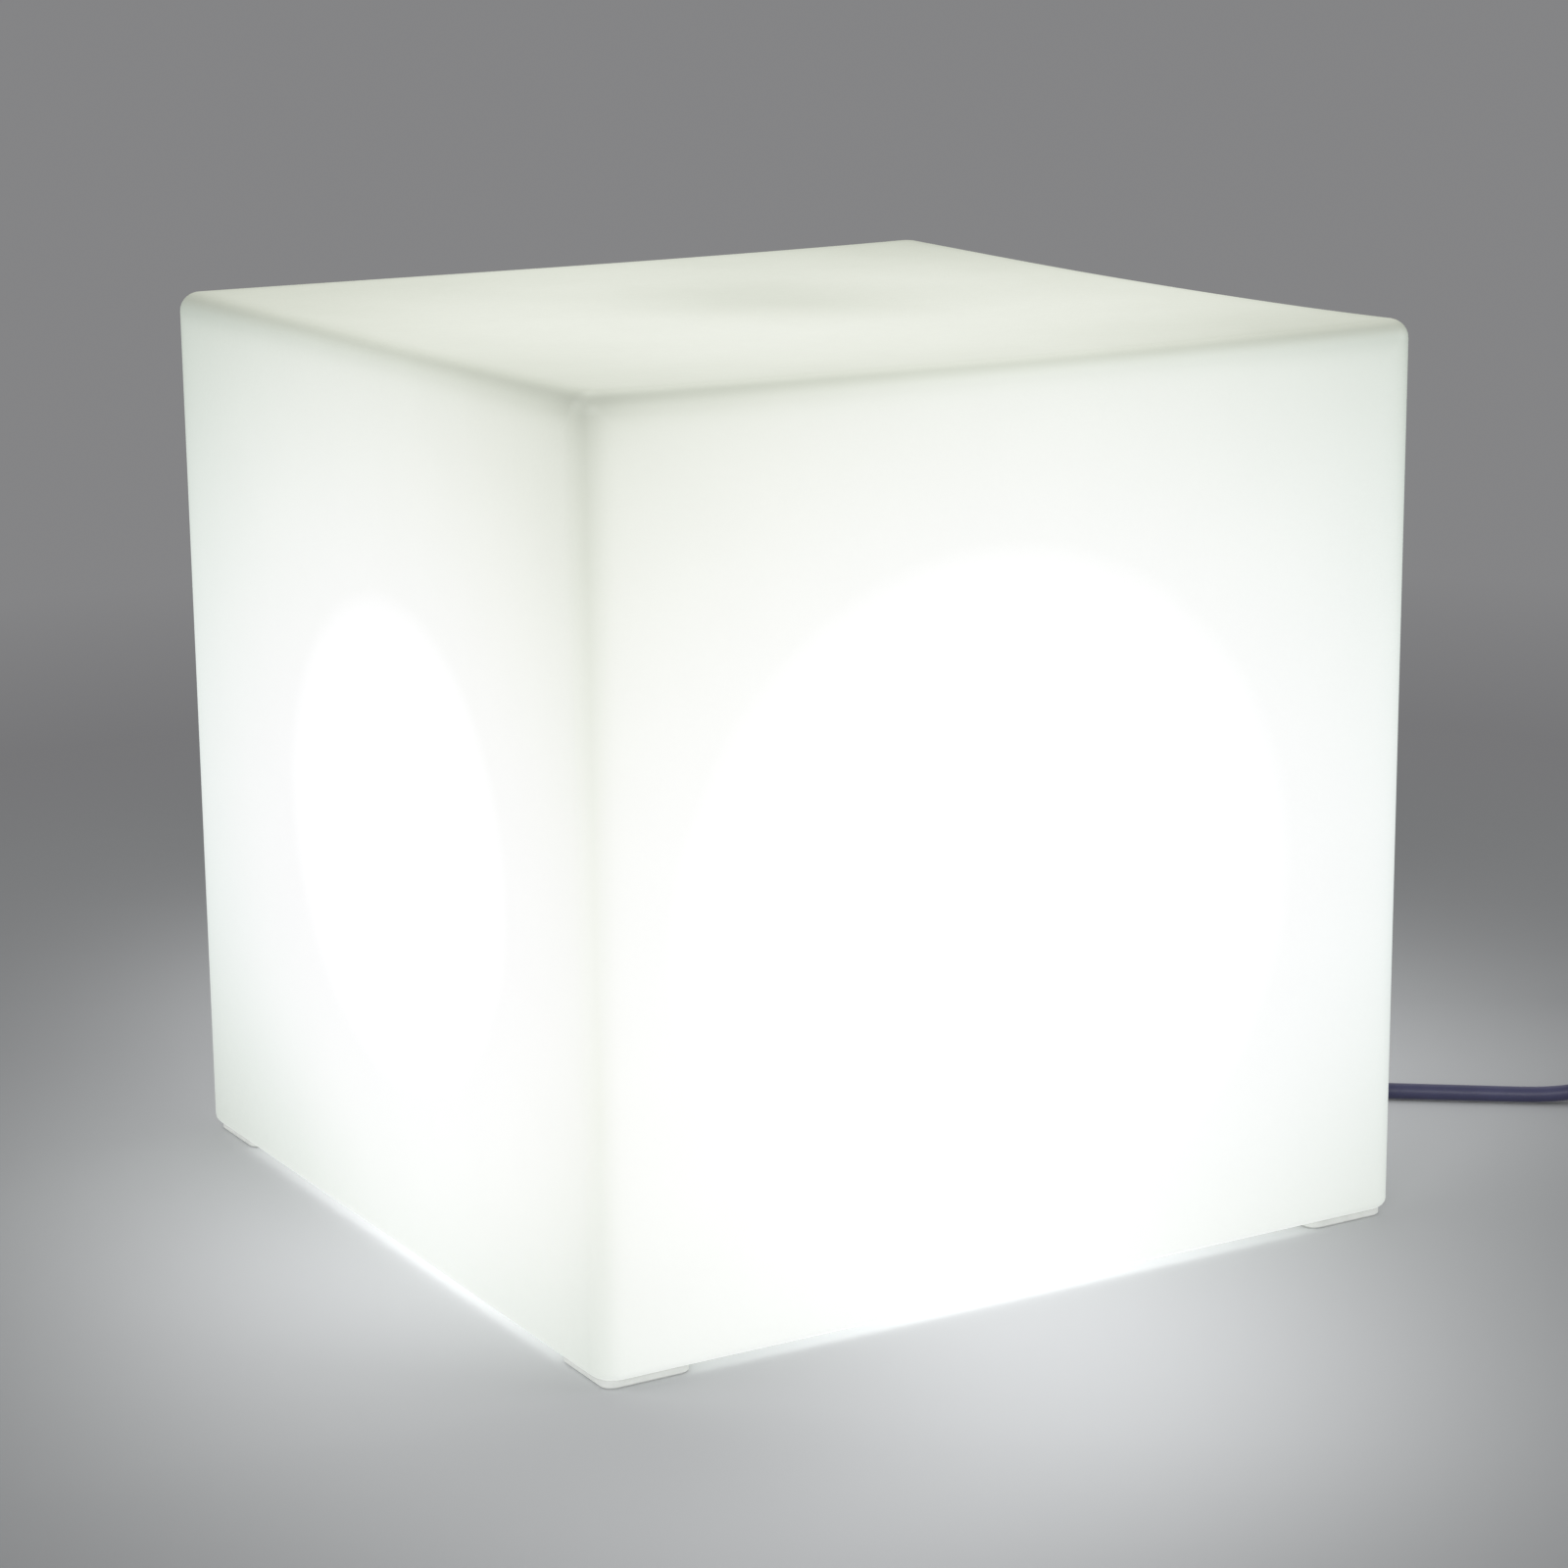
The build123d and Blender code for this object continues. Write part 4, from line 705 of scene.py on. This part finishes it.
# Each finish gives what it is on, its colour, a second one that comes in patches, how many of them a metre has, its
# roughness, and how many grains a metre has and how deep they are.
finishes = {
    # the pads' light is a painted glow, standing in for the shell's light through them
    "padClear": {
        "on": ["foot_front_left", "foot_front_right", "foot_back_left", "foot_back_right"],
        "colour": (0.73, 0.745, 0.715), "second": (0.68, 0.695, 0.665), "patch": 300,
        "rough": 0.75, "grain": 2200, "depth": 0.00008, "light": 0.07,
    },
    "turnedBrass": {
        "on": ["cover_inserts", "threaded_nipple", "nipple_nut", "holder_terminals"],
        "colour": (0.72, 0.50, 0.22), "second": (0.60, 0.41, 0.18), "patch": 220,
        "rough": 0.32, "grain": 900, "depth": 0.00002, "metal": 1.0, "stretch": (1, 1, 9),
    },
    "coverPlastic": {
        "on": ["base_cover"],
        "colour": (0.62, 0.63, 0.61), "second": (0.56, 0.57, 0.55), "patch": 60,
        "rough": 0.5, "grain": 1500, "depth": 0.00005,
    },
    "foamSeal": {
        "on": ["cover_seal"],
        "colour": (0.045, 0.045, 0.045), "second": (0.02, 0.02, 0.02), "patch": 1400,
        "rough": 0.95, "grain": 1800, "depth": 0.0003,
    },
    "platedSteel": {
        "on": ["cover_screws", "clamp_screws", "bridge_screws", "terminal_screws", "switch_screws"],
        "colour": (0.66, 0.66, 0.67), "second": (0.52, 0.53, 0.55), "patch": 150,
        "rough": 0.3, "grain": 1300, "depth": 0.00002, "metal": 1.0,
    },
    "bushRubber": {
        "on": ["cord_bush"],
        "colour": (0.030, 0.032, 0.055), "second": (0.022, 0.024, 0.042), "patch": 200,
        "rough": 0.62, "grain": 2600, "depth": 0.00006,
    },
    "cordSheath": {
        "on": ["inner_cord", "switch_sheath_ends", "lampCord", "restCord"],
        "colour": (0.047, 0.047, 0.108), "second": (0.036, 0.036, 0.086), "patch": 90,
        "rough": 0.42, "grain": 1900, "depth": 0.00004, "sheen": 0.6,
    },
    "zincSheet": {
        "on": ["holder_bridge"],
        "colour": (0.64, 0.65, 0.65), "second": (0.50, 0.51, 0.53), "patch": 120,
        "rough": 0.42, "grain": 500, "depth": 0.00002, "metal": 1.0, "stretch": (1, 6, 1),
    },
    "holderPlastic": {
        "on": ["cord_clamp", "holder_cap", "holder_skirt"],
        "colour": (0.78, 0.78, 0.75), "second": (0.71, 0.71, 0.68), "patch": 90,
        "rough": 0.38, "grain": 1500, "depth": 0.00004,
    },
    "holderCore": {
        "on": ["holder_core"],
        "colour": (0.72, 0.70, 0.62), "second": (0.63, 0.61, 0.53), "patch": 130,
        "rough": 0.28, "grain": 700, "depth": 0.00003,
    },
    "springBronze": {
        "on": ["centre_contact", "screw_sleeve", "switch_contacts"],
        "colour": (0.70, 0.46, 0.22), "second": (0.55, 0.35, 0.17), "patch": 140,
        "rough": 0.3, "grain": 900, "depth": 0.00002, "metal": 1.0,
    },
    "brownLead": {
        "on": ["live_lead"],
        "colour": (0.16, 0.065, 0.03), "second": (0.12, 0.05, 0.024), "patch": 260,
        "rough": 0.4, "grain": 2400, "depth": 0.00003,
    },
    "blueLead": {
        "on": ["neutral_lead", "switch_wires"],
        "colour": (0.03, 0.10, 0.38), "second": (0.025, 0.08, 0.30), "patch": 260,
        "rough": 0.4, "grain": 2400, "depth": 0.00003,
    },
    "nickelSheet": {
        "on": ["bulb_tip_contact", "bulb_cap"],
        "colour": (0.72, 0.71, 0.68), "second": (0.60, 0.59, 0.56), "patch": 170,
        "rough": 0.24, "grain": 800, "depth": 0.00002, "metal": 1.0, "stretch": (1, 1, 7),
    },
    "blackGlass": {
        "on": ["bulb_cap_insulator"],
        "colour": (0.022, 0.022, 0.025), "second": (0.03, 0.03, 0.034), "patch": 200,
        "rough": 0.12, "grain": 500, "depth": 0.00002,
    },
    "bulbPlastic": {
        "on": ["bulb_housing"],
        "colour": (0.80, 0.80, 0.78), "second": (0.74, 0.74, 0.72), "patch": 70,
        "rough": 0.35, "grain": 1300, "depth": 0.00004,
    },
    "opalDome": {
        "on": ["bulb_dome"],
        "colour": (0.86, 0.86, 0.84), "second": (0.80, 0.80, 0.78), "patch": 60,
        "rough": 0.45, "grain": 1300, "depth": 0.00003, "light": 1.5,
    },
    "pressedAluminium": {
        "on": ["bulb_heat_sink"],
        "colour": (0.78, 0.78, 0.79), "second": (0.66, 0.66, 0.68), "patch": 90,
        "rough": 0.4, "grain": 600, "depth": 0.00003, "metal": 1.0, "stretch": (1, 1, 5),
    },
    "whiteBoard": {
        "on": ["bulb_led_board"],
        "colour": (0.82, 0.82, 0.79), "second": (0.74, 0.75, 0.72), "patch": 420,
        "rough": 0.4, "grain": 1600, "depth": 0.00003,
    },
    "greenBoard": {
        "on": ["bulb_driver_board"],
        "colour": (0.05, 0.20, 0.08), "second": (0.10, 0.30, 0.13), "patch": 520,
        "rough": 0.35, "grain": 1600, "depth": 0.00003,
    },
    "phosphor": {
        "on": ["bulb_leds"],
        "colour": (0.88, 0.70, 0.18), "second": (0.80, 0.60, 0.13), "patch": 700,
        "rough": 0.3, "grain": 2600, "depth": 0.00003, "light": 1.0,
    },
    "blackMoulding": {
        "on": ["bulb_driver_components", "plug_pin_sleeves"],
        "colour": (0.03, 0.03, 0.033), "second": (0.045, 0.045, 0.05), "patch": 400,
        "rough": 0.5, "grain": 2400, "depth": 0.00005,
    },
    "switchPlastic": {
        "on": ["switch_lower", "switch_upper"],
        "colour": (0.030, 0.032, 0.055), "second": (0.024, 0.026, 0.046), "patch": 120,
        "rough": 0.34, "grain": 2300, "depth": 0.00005,
    },
    "rockerPlastic": {
        "on": ["switch_rocker"],
        "colour": (0.065, 0.066, 0.075), "second": (0.05, 0.051, 0.06), "patch": 160,
        "rough": 0.28, "grain": 2600, "depth": 0.00003,
    },
    "plugPlastic": {
        "on": ["plug_relief", "plug_body"],
        "colour": (0.028, 0.030, 0.052), "second": (0.021, 0.023, 0.042), "patch": 110,
        "rough": 0.45, "grain": 2300, "depth": 0.00006,
    },
    "plugPins": {
        "on": ["plug_pins"],
        "colour": (0.78, 0.76, 0.70), "second": (0.66, 0.64, 0.58), "patch": 240,
        "rough": 0.2, "grain": 900, "depth": 0.00002, "metal": 1.0, "stretch": (6, 1, 1),
    },
}


def finishMaterial(name, settings):
    material, tree, surface = emptyMaterial(name)
    stretch = settings.get("stretch", (1, 1, 1))
    patches = noise(tree, settings["patch"], finishTexture["patchDetail"], stretch)
    grain = noise(tree, settings["grain"], finishTexture["grainDetail"], stretch)
    colour = mixColours(tree, spread(tree, patches, 0.0, 1.0), settings["colour"], settings["second"])
    tree.links.new(colour, surface.inputs["Base Color"])
    smoothest, roughest = (min(settings["rough"] * share, 1.0) for share in finishTexture["roughShares"])
    tree.links.new(spread(tree, grain, smoothest, roughest), surface.inputs["Roughness"])
    surface.inputs["Metallic"].default_value = settings.get("metal", 0.0)
    if settings.get("sheen"):
        surface.inputs["Sheen Weight"].default_value = settings["sheen"]
        surface.inputs["Sheen Roughness"].default_value = finishTexture["sheenRoughness"]
    if settings.get("light"):
        tree.links.new(colour, surface.inputs["Emission Color"])
        surface.inputs["Emission Strength"].default_value = settings["light"]
    addBump(tree, surface, grain, settings["depth"], finishTexture["grainStrength"])
    return material


def paint(piece, material):
    piece.data.materials.clear()
    piece.data.materials.append(material)


pieces = {**frame["nodes"], "lampCord": lampCord, "restCord": restCord}
for finish, settings in finishes.items():
    material = finishMaterial(finish, settings)
    for name in settings["on"]:
        paint(pieces[name], material)
paint(shell, shellMaterial())
print("materials made")


studio = {
    "backdrop": (0.233, 0.233, 0.238),
    "world": (0.56, 0.56, 0.5712),
    "floorSize": 8.0,
    "floorRough": 0.7,
    "floorSpecular": 0.2,
    "floorBase": 0.207,
    "floorTint": (0.98, 1.0, 1.01),
    "paintedPools": [  # painted light in the floor's colour, palest in front of each face, and a painted shadow at the near corner
        {"middle": (-0.060, -0.164), "reach": (0.157, 0.157), "amount": 0.661},
        {"middle": (-0.154, -0.060), "reach": (0.121, 0.226), "amount": 0.359},
        {"middle": (0.150, 0.041), "reach": (0.174, 0.176), "amount": 0.453},
        {"middle": (0.025, 0.200), "reach": (0.135, 0.160), "amount": 0.425},
        {"middle": (-0.119, -0.160), "reach": (0.106, 0.106), "amount": -0.555},
    ],
    "fade": (0.56, 0.72),  # how far from the cube the floor fades into the band at the horizon
    "horizon": (0.183, 0.183, 0.188),
    "horizonFade": (0.75, 1.15),  # and the band into the backdrop
    "lamps": [
        {"name": "keyLamp", "place": (-1.6, -2.1, 1.2), "size": 1.5, "power": 27},
        {"name": "fillLamp", "place": (2.4, -1.5, 1.2), "size": 1.8, "power": 22},
        {"name": "backLamp", "place": (0.9, 1.6, 3.0), "size": 1.8, "power": 10},
        {"name": "sideLamp", "place": (-2.6, 0.9, 2.0), "size": 1.8, "power": 24},
    ],
}


def rayShare(tree, *kinds):
    # one for a ray of any of these kinds
    ray = tree.nodes.new("ShaderNodeLightPath")
    share = ray.outputs[kinds[0]]
    for kind in kinds[1:]:
        share = calc(tree, "MAXIMUM", share, ray.outputs[kind])
    return share


def makeFloor():
    size = studio["floorSize"] / 2
    mesh = bpy.data.meshes.new("floor")
    mesh.from_pydata([(-size, -size, 0), (size, -size, 0), (size, size, 0), (-size, size, 0)], [], [(0, 1, 2, 3)])
    floor = bpy.data.objects.new("floor", mesh)
    bpy.context.scene.collection.objects.link(floor)
    material, tree, surface = emptyMaterial("paleFloor")
    coordinates = tree.nodes.new("ShaderNodeTexCoord")
    x, y, _ = splitVector(tree, coordinates.outputs["Object"])
    away = calc(tree, "SQRT", sumOfProducts(tree, (x, x), (y, y)))
    tone = studio["floorBase"]
    # painted light and a painted shadow in the floor's colour
    for paintedPatch in studio["paintedPools"]:
        tone = calc(tree, "MULTIPLY_ADD", bell(tree, (x, y), paintedPatch["middle"], paintedPatch["reach"]), paintedPatch["amount"], tone)
    colour = tree.nodes.new("ShaderNodeCombineXYZ")
    for socket, tint in zip(colour.inputs, studio["floorTint"]):
        tree.links.new(calc(tree, "MULTIPLY", tone, tint), socket)
    tree.links.new(colour.outputs[0], surface.inputs["Base Color"])
    surface.inputs["Roughness"].default_value = studio["floorRough"]
    surface.inputs["Specular IOR Level"].default_value = studio["floorSpecular"]
    plain = tree.nodes.new("ShaderNodeEmission")
    farther = spread(tree, away, 0.0, 1.0, *studio["horizonFade"])
    tree.links.new(mixColours(tree, farther, studio["horizon"], studio["backdrop"]), plain.inputs["Color"])
    fade = spread(tree, away, 0.0, 1.0, *studio["fade"])
    seen = rayShare(tree, "Is Camera Ray", "Is Glossy Ray")
    mix = tree.nodes.new("ShaderNodeMixShader")
    tree.links.new(calc(tree, "MULTIPLY", fade, seen), mix.inputs[0])
    tree.links.new(surface.outputs[0], mix.inputs[1])
    tree.links.new(plain.outputs[0], mix.inputs[2])
    output = next(node for node in tree.nodes if node.type == "OUTPUT_MATERIAL")
    tree.links.new(mix.outputs[0], output.inputs["Surface"])
    paint(floor, material)


def makeWorld():
    world = bpy.data.worlds.new("studioWorld")
    bpy.context.scene.world = world
    world.use_nodes = True
    tree = world.node_tree
    tree.nodes.clear()
    seen = rayShare(tree, "Is Camera Ray", "Is Glossy Ray", "Is Transmission Ray")
    background = tree.nodes.new("ShaderNodeBackground")
    tree.links.new(mixColours(tree, seen, studio["world"], studio["backdrop"]), background.inputs["Color"])
    output = tree.nodes.new("ShaderNodeOutputWorld")
    tree.links.new(background.outputs[0], output.inputs["Surface"])


def makeLamps():
    aim = Vector((0, 0, shellMiddle))
    for settings in studio["lamps"]:
        lamp = bpy.data.lights.new(settings["name"], "AREA")
        lamp.size = settings["size"]
        lamp.energy = settings["power"]
        holder = bpy.data.objects.new(settings["name"], lamp)
        holder.location = settings["place"]
        holder.rotation_euler = (Vector(settings["place"]) - aim).to_track_quat("Z", "Y").to_euler()
        holder.visible_camera = False
        bpy.context.scene.collection.objects.link(holder)


makeFloor()
makeWorld()
makeLamps()
bpy.context.scene.view_settings.view_transform = "Standard"
print("stage set")
